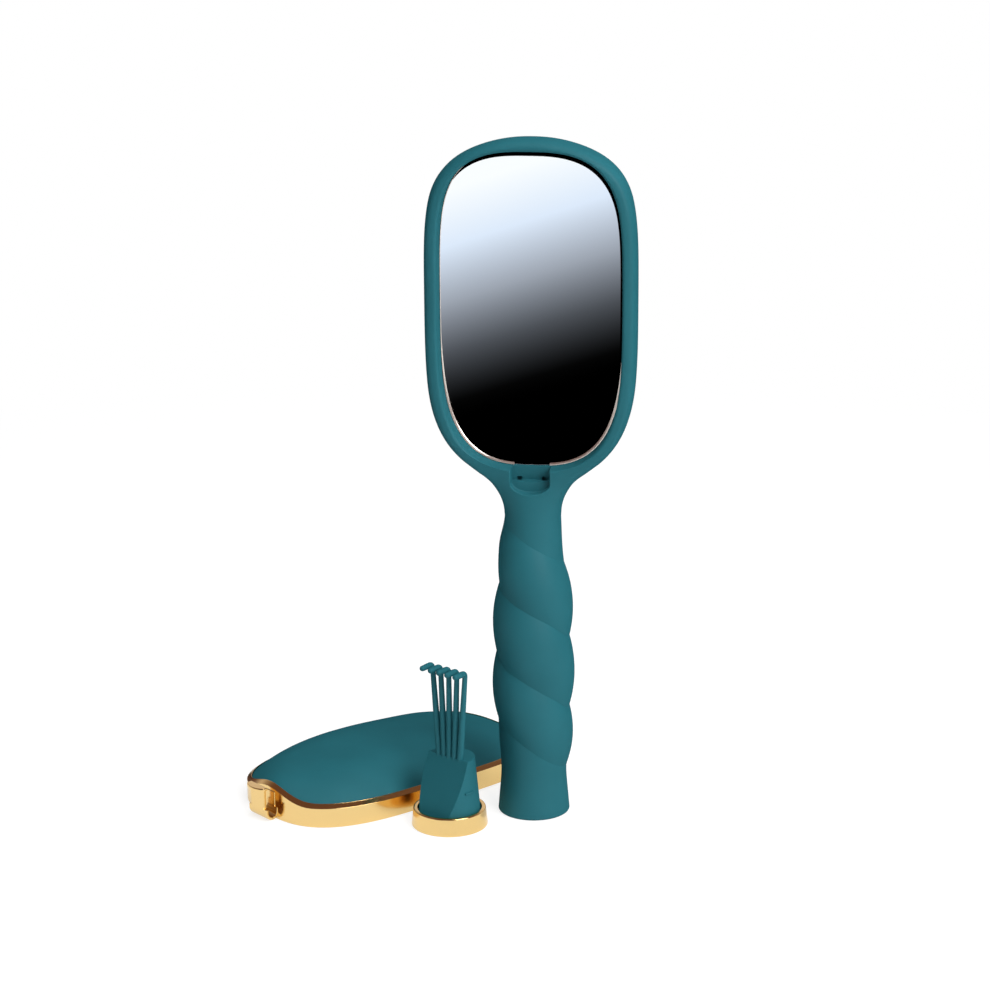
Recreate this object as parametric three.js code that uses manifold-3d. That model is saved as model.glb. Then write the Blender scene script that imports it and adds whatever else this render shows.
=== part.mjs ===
// Boar bristle styling brush: a brush with a mirror in its back, the lift-off cover of the
// mirror, and the cleaning rake that is kept in the hollow handle. The cover and the rake lie
// beside the standing brush. Lengths are in millimetres. X runs across the brush, Y from its
// mirror side to its bristle side, and Z from the open end of the handle to the top.

import * as THREE from 'three';
import { mergeVertices } from 'three/addons/utils/BufferGeometryUtils.js';
import Module from 'manifold-3d';

const wasm = await Module();
wasm.setup();

// Head of the brush
const overallHeight = 248;
const headWidth = 74.6;
const headLength = 123.5;
const headWidestDepth = 54;
const headThickness = 20;
const headSidePower = 3.55;
const headEndPower = 2.4;
const endPowerStart = 0.67;
const endPowerRise = 1.5;
const frontEdgeInset = 2.6;
const frontEdgeDepth = 5;
const backEdgeInset = 5;
const backEdgeDepth = 12;

// Mirror side
const rimSide = 4.9;
const rimTop = 3.9;
const rimBottom = 6.3;
const openingSidePower = 3.6;
const openingEndPower = 3.05;
const lipRound = 1.1;
const mirrorDepth = 8.6;
const mirrorThickness = 2;
const padThickness = 0.5;
const padInset = 2.4;
const seatGap = 0.2;
const webThickness = 1.6;
const bezelWidth = 0.8;
const bezelHeight = 0.9;
const bezelOpening = 12.6;
const bezelSlopeShare = 0.3;
const lipShoulderShare = 0.3;

// Catch for the cover's latch, in the neck end of the rim
const catchClearance = 1.4;
const latchSqueeze = 1.8;
const thumbFloorDepth = 3.7;
const thumbClearance = 0.8;
const keyholeWidth = 1.9;
const keyholeHeight = 1.2;
const keyholeDepth = 2;

// Bristle side
const cushionRim = 7.6;
const cushionFlange = 1.8;
const flangeThickness = 1.4;
const ringWall = 1.5;
const cushionCrown = 5;
const cushionCrownPower = 2.6;
const fieldInset = 2.2;
const backingThickness = 1.2;
const backingGap = 0.3;
const bristleLength = 13;
const bristleSpacing = 3.5;
const bristleRowSpacing = 3.4;
const bristleFootRadius = 0.72;
const bristleTipRadius = 0.42;
const bristleRootDepth = 0.5;
const bristleLean = 0.1;

// Neck and twisted handle
const neckDrop = 12.5;
const neckRadius = 10.05;
const gripRadius = 14.7;
const flareStart = 3;
const flareRise = 16.5;
const flareStep = 0.3;
const flareRings = 12;
const flareTopPower = 3;
const twistPitch = 25.9;
const twistTilt = 3.7;
const twistDrop = 9.2;
const lobeHeight = 1.35;
const lobePower = 0.8;
const lobeFadeDrop = 16;
const lobeFadeLength = 14;
const firstLobeTurn = -0.4;
const lastLobeTurn = 2.5;
const lobeFadeTurn = 0.12;
const gripEdgeRound = 0.8;
const boreClearance = 0.2;
const boreEndClearance = 4;
const boreEndShare = 0.6;

// Grip profile between the lobes: shares of the neck height and of the grip radius
const gripProfileShares = [
  [0, 0.888], [0.04, 0.862], [0.143, 0.806], [0.25, 0.862], [0.4, 0.905],
  [0.55, 0.905], [0.67, 0.885], [0.775, 0.83], [0.885, 0.728], [1, neckRadius / gripRadius],
];

// Lift-off cover
const coverClearance = 0.35;
const bandClearance = 0.2;
const bandWall = 2.2;
const bandSlope = 1;
const bandLipHeight = 1.2;
const bandLipWidth = 0.6;
const bandEdgeRound = 0.35;
const domeHeight = 11.3;
const domePower = 3;
const domeThickness = 1.8;
const skirtWall = 1.6;
const skirtLift = 1;

// Spring latch at the neck end of the cover
const strapThickness = 1.2;
const strapSpan = 4.8;
const strapLift = 0.3;
const strapWidth = 7.8;
const strapFootWidth = 10.4;
const strapFootHeight = 4;
const strapTop = 8.7;
const rootTop = 6.6;
const thumbLipWidth = 9.8;
const thumbLipReach = 3;
const thumbLipThickness = 1.1;
const latchGap = 0.35;

// Cleaning rake
const capRadius = 13.86;
const capTopRadius = 13.1;
const capHeight = 5.5;
const capEdgeRound = 0.6;
const capRim = 2.2;
const capFloor = 1.8;
const rakeFootRadius = 10.7;
const rakeTopRadius = 8.5;
const rakeTop = 24.5;
const rakeEdgeRound = 0.6;
const wedgeFootOffset = 8.6;
const wedgeTopOffset = 0.5;
const tineCount = 5;
const tineRootRadius = 1.15;
const tineTipRadius = 0.7;
const tineTipFlatShare = 0.2;
const tineSteps = 16;
const tineStraightShare = 0.25;
const tineSpacing = 2.35;
const tineTipSpacing = 3.45;
const tineTop = 57.5;
const tineSetback = 0.9;
const tineRoot = 1.5;
const hookLength = 4.8;
const hookRadius = 1.6;
const hookDroop = 0.5;
const ribLength = 4;
const ribHeight = 0.8;
const ribReach = 0.4;
const ribRoot = 1.7;
const ribLevel = 12;
const ribTurn = 75;

// Where the loose pieces lie: the rake beside the grip, and the cover along the rake's far side
const cleanerBearing = 212;
const cleanerGap = 5.2;
const cleanerTurn = -32.5;
const coverTurn = -42.3;
const coverGap = 3.3;
const coverSlide = -14.8;

// One overrun serves every cut
const overrun = 1;

// Facets
const outlineFacets = 56;
const outlineHalvings = 30;
const fieldFacets = 28;
const gripFacets = 32;
const roundFacets = 36;
const lobeRows = 6;
const tineFacets = 8;

// Places that follow from the sizes
const frontPlane = -headThickness / 2;
const backPlane = headThickness / 2;
const headMiddle = overallHeight - headWidestDepth;
const headFoot = overallHeight - headLength;
const neckHeight = headFoot - neckDrop;
const flareTop = headFoot + flareRise;
const flareDepth = headThickness / 2 - flareStep;
const mirrorPlane = frontPlane + mirrorDepth;
const padPlane = mirrorPlane + mirrorThickness + seatGap / 2;
const recessFloor = padPlane + padThickness + seatGap / 2;
const cushionFloor = recessFloor + webThickness;
const bandHeight = mirrorDepth - bezelHeight - seatGap / 2 - bandClearance;
const coverRest = bandHeight + bandLipHeight;
const boreRadius = rakeFootRadius + boreClearance;
const boreDepth = tineTop - capHeight + boreEndClearance;
const catchWidth = strapFootWidth + 2 * catchClearance;
const catchDrop = strapSpan + strapThickness - latchSqueeze;
const catchBackDepth = bandHeight + bandClearance;
const thumbReach = catchDrop + thumbLipReach + thumbClearance;

const colours = {
  teal: { color: 0x2c6c76, roughness: 0.55, metalness: 0 },
  gold: { color: 0xebc37a, roughness: 0.2, metalness: 1 },
  mirror: { color: 0xf2f5f8, roughness: 0.02, metalness: 1 },
  pad: { color: 0xd9d9d4, roughness: 0.9, metalness: 0 },
  rubber: { color: 0x24555e, roughness: 0.7, metalness: 0 },
  bristle: { color: 0x2a211b, roughness: 0.6, metalness: 0 },
};

// Solids from three.js geometry, joined and cut, and back again
function solidOf(geometry) {
  const bare = geometry.clone();
  bare.deleteAttribute('normal');
  bare.deleteAttribute('uv');
  const merged = mergeVertices(bare, 1e-5);
  const triVerts = new Uint32Array(merged.index.array);
  const vertProperties = new Float32Array(merged.attributes.position.array);
  return new wasm.Manifold(new wasm.Mesh({ numProp: 3, vertProperties, triVerts }));
}

function geometryOf(solid) {
  const mesh = solid.getMesh();
  const geometry = new THREE.BufferGeometry();
  geometry.setAttribute('position', new THREE.BufferAttribute(mesh.vertProperties, 3));
  geometry.setIndex(new THREE.BufferAttribute(mesh.triVerts, 1));
  geometry.computeVertexNormals();
  return geometry;
}

function piece(name, solid, colour) {
  const material = new THREE.MeshStandardMaterial(colours[colour]);
  const mesh = new THREE.Mesh(geometryOf(solid), material);
  mesh.name = name;
  return mesh;
}

function triangles(points, faces) {
  const geometry = new THREE.BufferGeometry();
  const position = points.flatMap((p) => [p.x, p.y, p.z]);
  geometry.setAttribute('position', new THREE.Float32BufferAttribute(position, 3));
  geometry.setIndex(faces);
  return geometry;
}

// A solid through rings of equally many points. The rings either close on the first one, as
// round a frame, or end in fans. Ring points turn so that the faces point out.
function loft(rings, closed = false) {
  const count = rings[0].length;
  const points = rings.flat();
  const faces = [];
  const last = closed ? rings.length : rings.length - 1;
  for (let level = 0; level < last; level += 1) {
    const low = level * count;
    const high = ((level + 1) % rings.length) * count;
    for (let i = 0; i < count; i += 1) {
      const next = (i + 1) % count;
      faces.push(low + i, low + next, high + next, low + i, high + next, high + i);
    }
  }
  if (!closed) {
    const ends = [[rings[0], 0, true], [rings[rings.length - 1], (rings.length - 1) * count, false]];
    for (const [ring, start, first] of ends) {
      const middle = ring.reduce((sum, p) => sum.add(p), new THREE.Vector3()).divideScalar(count);
      const hub = points.push(middle) - 1;
      for (let i = 0; i < count; i += 1) {
        const here = start + i;
        const next = start + ((i + 1) % count);
        faces.push(...(first ? [hub, next, here] : [hub, here, next]));
      }
    }
  }
  return solidOf(triangles(points, faces));
}

// Reach of a rounded oblong outline from the middle of its widest line. The sides are flat and
// the ends are rounder.
function outlineReach({ half, above, below, sidePower, endPower }, angle, inset = 0) {
  const [c, s] = [Math.abs(Math.cos(angle)), Math.abs(Math.sin(angle))];
  const rise = Math.max(0, (s - endPowerStart) / (1 - endPowerStart)) ** endPowerRise;
  const power = sidePower + (endPower - sidePower) * rise;
  const along = (Math.sin(angle) >= 0 ? above : below) - inset;
  return ((c / (half - inset)) ** power + (s / along) ** power) ** (-1 / power);
}

// Points of an outline as [across, along] pairs
function oblong(outline, inset = 0, share = 1) {
  const pairs = [];
  for (let i = 0; i < outline.facets; i += 1) {
    const angle = (2 * Math.PI * i) / outline.facets;
    const reach = share * outlineReach(outline, angle, inset);
    pairs.push([reach * Math.cos(angle), reach * Math.sin(angle)]);
  }
  return pairs;
}

const headOutline = {
  half: headWidth / 2,
  above: headWidestDepth,
  below: headLength - headWidestDepth,
  sidePower: headSidePower,
  endPower: headEndPower,
  facets: outlineFacets,
};
const openingOutline = {
  half: headWidth / 2 - rimSide,
  above: headWidestDepth - rimTop,
  below: headLength - headWidestDepth - rimBottom,
  sidePower: openingSidePower,
  endPower: openingEndPower,
  facets: outlineFacets,
};
const cushionOutline = {
  half: headWidth / 2 - cushionRim,
  above: headWidestDepth - cushionRim,
  below: headLength - headWidestDepth - cushionRim,
  sidePower: headSidePower,
  endPower: headEndPower,
  facets: outlineFacets,
};
const fieldOutline = {
  ...cushionOutline,
  half: cushionOutline.half - seatGap - cushionFlange - fieldInset,
  above: cushionOutline.above - seatGap - cushionFlange - fieldInset,
  below: cushionOutline.below - seatGap - cushionFlange - fieldInset,
  facets: fieldFacets,
};
const coverOutline = {
  ...openingOutline,
  half: openingOutline.half - coverClearance,
  above: openingOutline.above - coverClearance,
  below: openingOutline.below - coverClearance,
};

// Rings of an outline: standing ones in the head, at a depth y, and lying ones in the cover
function standingRing(outline, y, inset = 0, share = 1) {
  const pairs = oblong(outline, inset, share);
  return pairs.map(([across, along]) => new THREE.Vector3(across, y, headMiddle + along)).reverse();
}

function lyingRing(outline, z, inset = 0, share = 1) {
  return oblong(outline, inset, share).map(([across, along]) => new THREE.Vector3(across, along, z));
}

function box(low, high) {
  const size = high.map((value, i) => value - low[i]);
  const geometry = new THREE.BoxGeometry(...size);
  geometry.translate(...low.map((value, i) => value + size[i] / 2));
  return solidOf(geometry);
}

function smoothstep(low, high, value) {
  return THREE.MathUtils.smoothstep(value, low, high);
}

// Grip radius between the lobes at a height, through the profile's stations
function gripProfile(z) {
  const stations = gripProfileShares.map(([height, radius]) => [height * neckHeight, radius * gripRadius]);
  const last = stations.length - 1;
  let k = 0;
  while (k < last - 1 && z > stations[k + 1][0]) k += 1;
  const [z0, r0] = stations[k];
  const [z1, r1] = stations[k + 1];
  const slope = (i) => {
    const [a, b] = [stations[Math.max(i - 1, 0)], stations[Math.min(i + 1, last)]];
    return ((b[1] - a[1]) / (b[0] - a[0])) * (z1 - z0);
  };
  const t = Math.min(Math.max((z - z0) / (z1 - z0), 0), 1);
  const [tt, ttt] = [t * t, t * t * t];
  const ends = (2 * ttt - 3 * tt + 1) * r0 + (3 * tt - 2 * ttt) * r1;
  return ends + (ttt - 2 * tt + t) * slope(k) + (ttt - tt) * slope(k + 1);
}

// The handle is one long lobe wound round the grip. Turns are counted down from the first
// crease, and the angle runs from the back over the left side, the front and the right side.
function creaseHeight(angle) {
  return neckHeight - twistDrop - (twistPitch * angle) / (2 * Math.PI) - twistTilt * Math.sin(angle);
}

function handleRadius(angle, z) {
  const turn = (creaseHeight(angle) - z) / twistPitch;
  const phase = turn - Math.floor(turn);
  const wound = Math.floor(turn) + angle / (2 * Math.PI);
  const first = smoothstep(firstLobeTurn - lobeFadeTurn, firstLobeTurn + lobeFadeTurn, wound);
  const final = 1 - smoothstep(lastLobeTurn - lobeFadeTurn, lastLobeTurn + lobeFadeTurn, wound);
  const fadeFoot = neckHeight - lobeFadeDrop;
  const high = 1 - smoothstep(fadeFoot, fadeFoot + lobeFadeLength, z);
  const swell = lobeHeight * first * final * high * Math.sin(Math.PI * phase) ** lobePower;
  const edge = Math.max(0, gripEdgeRound - z);
  return gripProfile(z) + swell - edge;
}

// Columns of points up the handle follow the creases, and neighbours are joined turn by turn
function twistedGrip() {
  const points = [];
  const columns = [];
  const add = (angle, z, radius) =>
    points.push(new THREE.Vector3(radius * Math.sin(angle), -radius * Math.cos(angle), z)) - 1;
  for (let i = 0; i < gripFacets; i += 1) {
    const angle = -Math.PI + (2 * Math.PI * i) / gripFacets;
    const column = [];
    const put = (label, z) => column.push({ label, index: add(angle, z, handleRadius(angle, z)) });
    put(Infinity, 0);
    put(Number.MAX_VALUE, gripEdgeRound);
    const clear = twistPitch / lobeRows / 2;
    const crease = creaseHeight(angle);
    const lowest = Math.floor(((crease - gripEdgeRound - clear) / twistPitch) * lobeRows);
    const highest = Math.ceil(((crease - neckHeight + clear) / twistPitch) * lobeRows);
    for (let row = lowest; row >= highest; row -= 1) {
      put(row, crease - (row * twistPitch) / lobeRows);
    }
    put(-Infinity, neckHeight);
    columns.push(column);
  }
  const faces = [];
  columns.forEach((column, i) => {
    const across = columns[(i + 1) % gripFacets];
    const shift = i + 1 === gripFacets ? lobeRows : 0;
    let [a, b] = [0, 0];
    while (a < column.length - 1 || b < across.length - 1) {
      const upA = a < column.length - 1 ? column[a + 1].label : -Infinity;
      const upB = b < across.length - 1 ? across[b + 1].label - shift : -Infinity;
      const both = upA === upB && a < column.length - 1 && b < across.length - 1;
      const stepA = both || b === across.length - 1 || (a < column.length - 1 && upA > upB);
      if (stepA) {
        faces.push(column[a].index, across[b].index, column[a + 1].index);
        a += 1;
      }
      if (both || !stepA) {
        faces.push(column[a].index, across[b].index, across[b + 1].index);
        b += 1;
      }
    }
  });
  const foot = points.push(new THREE.Vector3()) - 1;
  const top = points.push(new THREE.Vector3(0, 0, neckHeight)) - 1;
  columns.forEach((column, i) => {
    const across = columns[(i + 1) % gripFacets];
    faces.push(foot, across[0].index, column[0].index);
    faces.push(top, column[column.length - 1].index, across[across.length - 1].index);
  });
  return solidOf(triangles(points, faces));
}

// Half width of the head's outline at a height on its lower half
function headHalfAt(z) {
  const drop = headMiddle - z;
  let [low, high] = [0, Math.PI / 2];
  for (let halving = 0; halving < outlineHalvings; halving += 1) {
    const angle = (low + high) / 2;
    if (outlineReach(headOutline, -angle) * Math.sin(angle) < drop) low = angle;
    else high = angle;
  }
  return drop / Math.tan(low);
}

// The neck widens from the round grip until its sides run into the outline of the head
function flaredNeck() {
  const rings = [];
  const foot = neckHeight + flareStart;
  const span = flareTop - foot;
  const topHalf = headHalfAt(flareTop) - flareStep;
  const slope = (headHalfAt(flareTop) - headHalfAt(flareTop - flareStep)) / flareStep;
  for (let level = 0; level <= flareRings; level += 1) {
    const z = neckHeight + ((flareTop - neckHeight) * level) / flareRings;
    const t = Math.max(0, (z - foot) / span);
    const widened = t * t * (3 - 2 * t);
    const half = neckRadius + (topHalf - neckRadius) * widened + slope * span * t * t * (t - 1);
    const depth = neckRadius + (flareDepth - neckRadius) * t;
    const power = 2 + (flareTopPower - 2) * widened;
    const ring = [];
    for (let i = 0; i < gripFacets; i += 1) {
      const angle = -Math.PI + (2 * Math.PI * i) / gripFacets;
      const [c, s] = [Math.sin(angle), -Math.cos(angle)];
      const reach = (Math.abs(c / half) ** power + Math.abs(s / depth) ** power) ** (-1 / power);
      ring.push(new THREE.Vector3(reach * c, reach * s, z));
    }
    rings.push(ring);
  }
  return loft(rings);
}

// The head is a rounded oblong slab, with a tight front edge and a long round back edge
function headSlab() {
  const rings = [];
  const frontSteps = 4;
  const backSteps = 5;
  for (let i = frontSteps; i >= 1; i -= 1) {
    const t = i / frontSteps;
    const y = frontPlane + frontEdgeDepth * (1 - t);
    rings.push(standingRing(headOutline, y, frontEdgeInset * (1 - Math.sqrt(1 - t * t))));
  }
  for (let i = 0; i <= backSteps; i += 1) {
    const t = i / backSteps;
    const y = backPlane - backEdgeDepth * (1 - t);
    rings.push(standingRing(headOutline, y, backEdgeInset * (1 - Math.sqrt(1 - t * t))));
  }
  return loft(rings);
}

function mirrorRecess() {
  const mouth = [
    [frontPlane - overrun, -lipRound],
    [frontPlane, -lipRound],
    [frontPlane + lipRound * lipShoulderShare, -lipRound * lipShoulderShare],
    [frontPlane + lipRound, 0],
    [recessFloor, 0],
  ];
  return loft(mouth.map(([y, inset]) => standingRing(openingOutline, y, inset)));
}

function cushionRecess() {
  const levels = [cushionFloor, backPlane + overrun];
  return loft(levels.map((y) => standingRing(cushionOutline, y)));
}

// Slot and thumb hollow that the latch drops into, under the rim of the mirror recess
const rimFoot = headMiddle - openingOutline.below;
const catchFloor = rimFoot - catchDrop;

function latchCatch() {
  const slot = box(
    [-catchWidth / 2, frontPlane - overrun, catchFloor],
    [catchWidth / 2, frontPlane + catchBackDepth, rimFoot + catchDrop],
  );
  const half = catchWidth / 2;
  const hollow = new THREE.Shape();
  hollow.moveTo(-half, rimFoot);
  hollow.lineTo(-half, catchFloor);
  hollow.absellipse(0, catchFloor, half, thumbReach - catchDrop, Math.PI, 2 * Math.PI, false);
  hollow.lineTo(half, rimFoot);
  const options = { depth: thumbFloorDepth + overrun, bevelEnabled: false, curveSegments: 10 };
  const geometry = new THREE.ExtrudeGeometry(hollow, options);
  geometry.rotateX(Math.PI / 2);
  geometry.translate(0, frontPlane + thumbFloorDepth, 0);
  const keyhole = (side) => {
    const outer = (side * strapFootWidth) / 2;
    const inner = outer - side * keyholeWidth;
    const back = frontPlane + catchBackDepth;
    return box(
      [Math.min(inner, outer), back - overrun, catchFloor],
      [Math.max(inner, outer), back + keyholeDepth, catchFloor + keyholeHeight],
    );
  };
  return slot.add(solidOf(geometry)).add(keyhole(-1)).add(keyhole(1));
}

function handleBore() {
  const profile = [
    [0, -overrun], [boreRadius, -overrun], [boreRadius, boreDepth - boreRadius * (1 - boreEndShare)],
    [boreRadius * boreEndShare, boreDepth], [0, boreDepth],
  ];
  return revolve(profile, gripFacets);
}

function revolve(profile, facets = roundFacets) {
  const geometry = new THREE.LatheGeometry(profile.map(([r, z]) => new THREE.Vector2(r, z)), facets);
  geometry.rotateX(Math.PI / 2);
  return solidOf(geometry);
}

function handleShell() {
  const body = headSlab().add(flaredNeck()).add(twistedGrip());
  const cuts = mirrorRecess().add(cushionRecess()).add(latchCatch()).add(handleBore());
  return piece('handle_shell', body.subtract(cuts), 'teal');
}

// Mirror, the foam pad that holds it and the thin trim round it
function mirrorPieces() {
  const glass = [mirrorPlane, mirrorPlane + mirrorThickness];
  const pad = [padPlane, padPlane + padThickness];
  const glassSolid = loft(glass.map((y) => standingRing(openingOutline, y, seatGap)));
  const padSolid = loft(pad.map((y) => standingRing(openingOutline, y, padInset)));
  const near = mirrorPlane - seatGap / 2;
  const far = near - bezelHeight;
  const profile = [
    [far, seatGap], [near, seatGap], [near, seatGap + bezelWidth],
    [far + bezelHeight * bezelSlopeShare, seatGap + bezelWidth],
    [far, seatGap + bezelWidth * (1 - bezelSlopeShare)],
  ];
  const trim = loft(profile.map(([y, inset]) => standingRing(openingOutline, y, inset)), true);
  const gap = box(
    [-bezelOpening / 2, far - overrun, rimFoot - overrun],
    [bezelOpening / 2, near + overrun, rimFoot + bezelWidth + bezelHeight + seatGap],
  );
  return [
    piece('mirror_pad', padSolid, 'pad'),
    piece('mirror_glass', glassSolid, 'mirror'),
    piece('mirror_trim', trim.subtract(gap), 'gold'),
  ];
}

// Rubber cushion with its flange, the ring that holds the flange down, and the bristles
const cushionBase = cushionFloor + seatGap / 2;
const flangeTop = cushionBase + flangeThickness;
const cushionWallInset = seatGap + cushionFlange;
const crownShares = [1, 0.86, 0.66, 0.36];

function crownDepth(share) {
  return backPlane + cushionCrown * (1 - share ** cushionCrownPower);
}

function bristleCushion() {
  const coarse = { ...cushionOutline, facets: fieldFacets };
  const rings = [
    standingRing(coarse, cushionBase, seatGap),
    standingRing(coarse, flangeTop, seatGap),
    standingRing(coarse, flangeTop, cushionWallInset),
    standingRing(coarse, backPlane - backingThickness - 2 * backingGap, cushionWallInset),
  ];
  for (const share of crownShares) {
    const y = crownDepth(share) - backingThickness - backingGap;
    rings.push(standingRing(fieldOutline, y, 0, share));
  }
  return piece('bristle_cushion', loft(rings), 'rubber');
}

function cushionRing() {
  const low = flangeTop + seatGap / 2;
  const inner = cushionWallInset - seatGap;
  const high = backPlane - seatGap;
  const profile = [[high, inner - ringWall + seatGap], [high, inner], [low, inner], [low, seatGap]];
  const rings = profile.map(([y, inset]) => standingRing(cushionOutline, y, inset));
  return piece('cushion_ring', loft(rings, true), 'teal');
}

function bristleFields() {
  const under = crownShares.map((share) => [crownDepth(share) - backingThickness, share]);
  const over = crownShares.map((share) => [crownDepth(share), share]);
  const levels = [...under.reverse(), ...over];
  let field = loft(levels.map(([y, share]) => standingRing(fieldOutline, y, 0, share)));
  const half = fieldOutline.half;
  const inside = 1 - (bristleFootRadius + bristleSpacing / 4) / half;
  const strands = [];
  const rows = Math.ceil(fieldOutline.below / bristleRowSpacing);
  const columns = Math.ceil(half / bristleSpacing);
  for (let row = -rows; row < rows; row += 1) {
    const along = (row + 0.5) * bristleRowSpacing;
    const stagger = row % 2 === 0 ? 0.25 : -0.25;
    for (let column = -columns; column <= columns; column += 1) {
      const across = (column + stagger) * bristleSpacing;
      const share = Math.hypot(across, along) / outlineReach(fieldOutline, Math.atan2(along, across));
      if (share < inside) strands.push(strand(across, along, share));
    }
  }
  field = field.add(wasm.Manifold.union(strands));
  const quarters = [[-1, 1], [1, 1], [-1, -1], [1, -1]];
  return quarters.map(([side, end], i) => {
    const far = [side * headWidth, 0, headMiddle + end * headLength];
    const near = [(side * seatGap) / 2, backPlane + 2 * bristleLength, headMiddle + (end * seatGap) / 2];
    const low = far.map((value, axis) => Math.min(value, near[axis]));
    const high = far.map((value, axis) => Math.max(value, near[axis]));
    return piece(`bristle_field_${i + 1}`, field.intersect(box(low, high)), 'bristle');
  });
}

function strand(across, along, share) {
  const length = bristleLength + bristleRootDepth;
  const geometry = new THREE.CylinderGeometry(bristleTipRadius, bristleFootRadius, length, 3, 1);
  geometry.translate(0, length / 2, 0);
  geometry.rotateZ((-bristleLean * across) / cushionOutline.half);
  geometry.rotateX((bristleLean * along) / cushionOutline.below);
  geometry.translate(across, crownDepth(share) - bristleRootDepth, headMiddle + along);
  return solidOf(geometry);
}

// Cover: plated band with a sloped shoulder up to the soft-touch dome, lying dome up
function coverBand() {
  const lipOuter = bandSlope + bandEdgeRound;
  const profile = [
    [bandEdgeRound, 0], [0, bandEdgeRound], [0, bandHeight - bandEdgeRound], [bandEdgeRound, bandHeight],
    [lipOuter, coverRest - bandEdgeRound], [lipOuter + bandEdgeRound / 2, coverRest],
    [lipOuter + bandLipWidth, coverRest], [lipOuter + bandLipWidth, bandHeight],
    [bandWall, bandHeight - bandSlope], [bandWall, 0],
  ];
  const rings = profile.map(([inset, z]) => lyingRing(coverOutline, z, inset));
  const band = loft(rings, true);
  return piece('cover_band', band.add(latchRoot()), 'gold');
}

function coverDome() {
  const edge = bandSlope + bandEdgeRound + bandLipWidth + seatGap;
  const skirtOuter = bandWall + seatGap;
  const skirtInner = skirtOuter + skirtWall;
  const surface = (share) => coverRest - bandEdgeRound + domeHeight * (1 - share ** domePower);
  const outerShares = [1, 0.965, 0.9, 0.8, 0.66, 0.48, 0.25];
  const innerShares = [0.25, 0.55, 0.8, 0.93, 1];
  const drawnIn = 1 - domeThickness / (coverOutline.half - edge);
  const ceiling = (share) => surface(share * drawnIn) - domeThickness;
  const inner = (share) => lyingRing(coverOutline, ceiling(share), skirtInner, share);
  const rings = [
    ...innerShares.map(inner),
    lyingRing(coverOutline, skirtLift, skirtInner),
    lyingRing(coverOutline, skirtLift, skirtOuter),
    lyingRing(coverOutline, bandHeight - bandSlope, skirtOuter),
    lyingRing(coverOutline, bandHeight, edge),
    ...outerShares.map((share) => lyingRing(coverOutline, surface(share), edge, share)),
  ];
  return piece('cover_dome', loft(rings), 'teal');
}

// The latch is a strap bent like a J, outside the band's end wall. Its root leg is on the band,
// and its free leg with the thumb lip springs about the foot of the bend.
const wallEnd = -coverOutline.below;
const bendRadius = (strapSpan + strapThickness) / 2;
const bendCentre = wallEnd - bendRadius + strapThickness;
const bendLevel = strapLift + bendRadius;
const pivotLevel = strapLift + strapThickness / 2;

function strap(points, width) {
  const outline = new THREE.Shape(points.map(([y, z]) => new THREE.Vector2(y, z)));
  const geometry = new THREE.ExtrudeGeometry(outline, { depth: width, bevelEnabled: false });
  geometry.translate(0, 0, -width / 2);
  geometry.rotateX(Math.PI / 2);
  geometry.rotateZ(Math.PI / 2);
  return solidOf(geometry);
}

// A quarter of the bend on one side of its foot, then the leg that rises from it
function bentLeg(side, top, gap) {
  const steps = 6;
  const outer = [];
  const inner = [];
  const innerRadius = bendRadius - strapThickness;
  for (let i = 0; i <= steps; i += 1) {
    const angle = -Math.PI / 2 + (Math.PI / 2) * (i / steps);
    const bend = (radius) => [
      bendCentre + side * Math.max(radius * Math.cos(angle), gap),
      bendLevel + radius * Math.sin(angle),
    ];
    outer.push(bend(bendRadius));
    inner.push(bend(innerRadius));
  }
  outer.push([bendCentre + side * bendRadius, top]);
  inner.push([bendCentre + side * innerRadius, top]);
  return [...outer, ...inner.reverse()];
}

function latchRoot() {
  const leg = strap(bentLeg(1, rootTop, latchGap / 2), strapWidth);
  const foot = strap(bentLeg(1, strapFootHeight, latchGap / 2), strapFootWidth);
  return leg.add(foot);
}

function latchTongue() {
  const top = strapTop - thumbLipThickness / 2;
  const leg = strap(bentLeg(-1, top, latchGap / 2), strapWidth);
  const foot = strap(bentLeg(-1, strapFootHeight, latchGap / 2), strapFootWidth);
  const face = bendCentre - bendRadius;
  const lip = new THREE.Shape();
  const half = thumbLipWidth / 2;
  lip.moveTo(half, face + strapThickness);
  lip.lineTo(-half, face + strapThickness);
  lip.lineTo(-half, face);
  lip.absellipse(0, face, half, thumbLipReach, Math.PI, 2 * Math.PI, false);
  const depth = thumbLipThickness;
  const geometry = new THREE.ExtrudeGeometry(lip, { depth, bevelEnabled: false, curveSegments: 10 });
  geometry.translate(0, 0, strapTop - thumbLipThickness);
  return piece('latch_tongue', leg.add(foot).add(solidOf(geometry)), 'gold');
}

// Rake: the cap that closes the handle, and the wedge-cut block with its hooked tines
function cleanerCap() {
  const seat = capTopRadius - capRim;
  const profile = [
    [0, 0], [capRadius - capEdgeRound, 0], [capRadius, capEdgeRound],
    [capTopRadius, capHeight - capEdgeRound],
    [capTopRadius - capEdgeRound / 2, capHeight], [seat + capEdgeRound / 2, capHeight],
    [seat, capHeight - capEdgeRound], [seat, capFloor], [0, capFloor],
  ];
  return piece('cleaner_cap', revolve(profile), 'gold');
}

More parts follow.
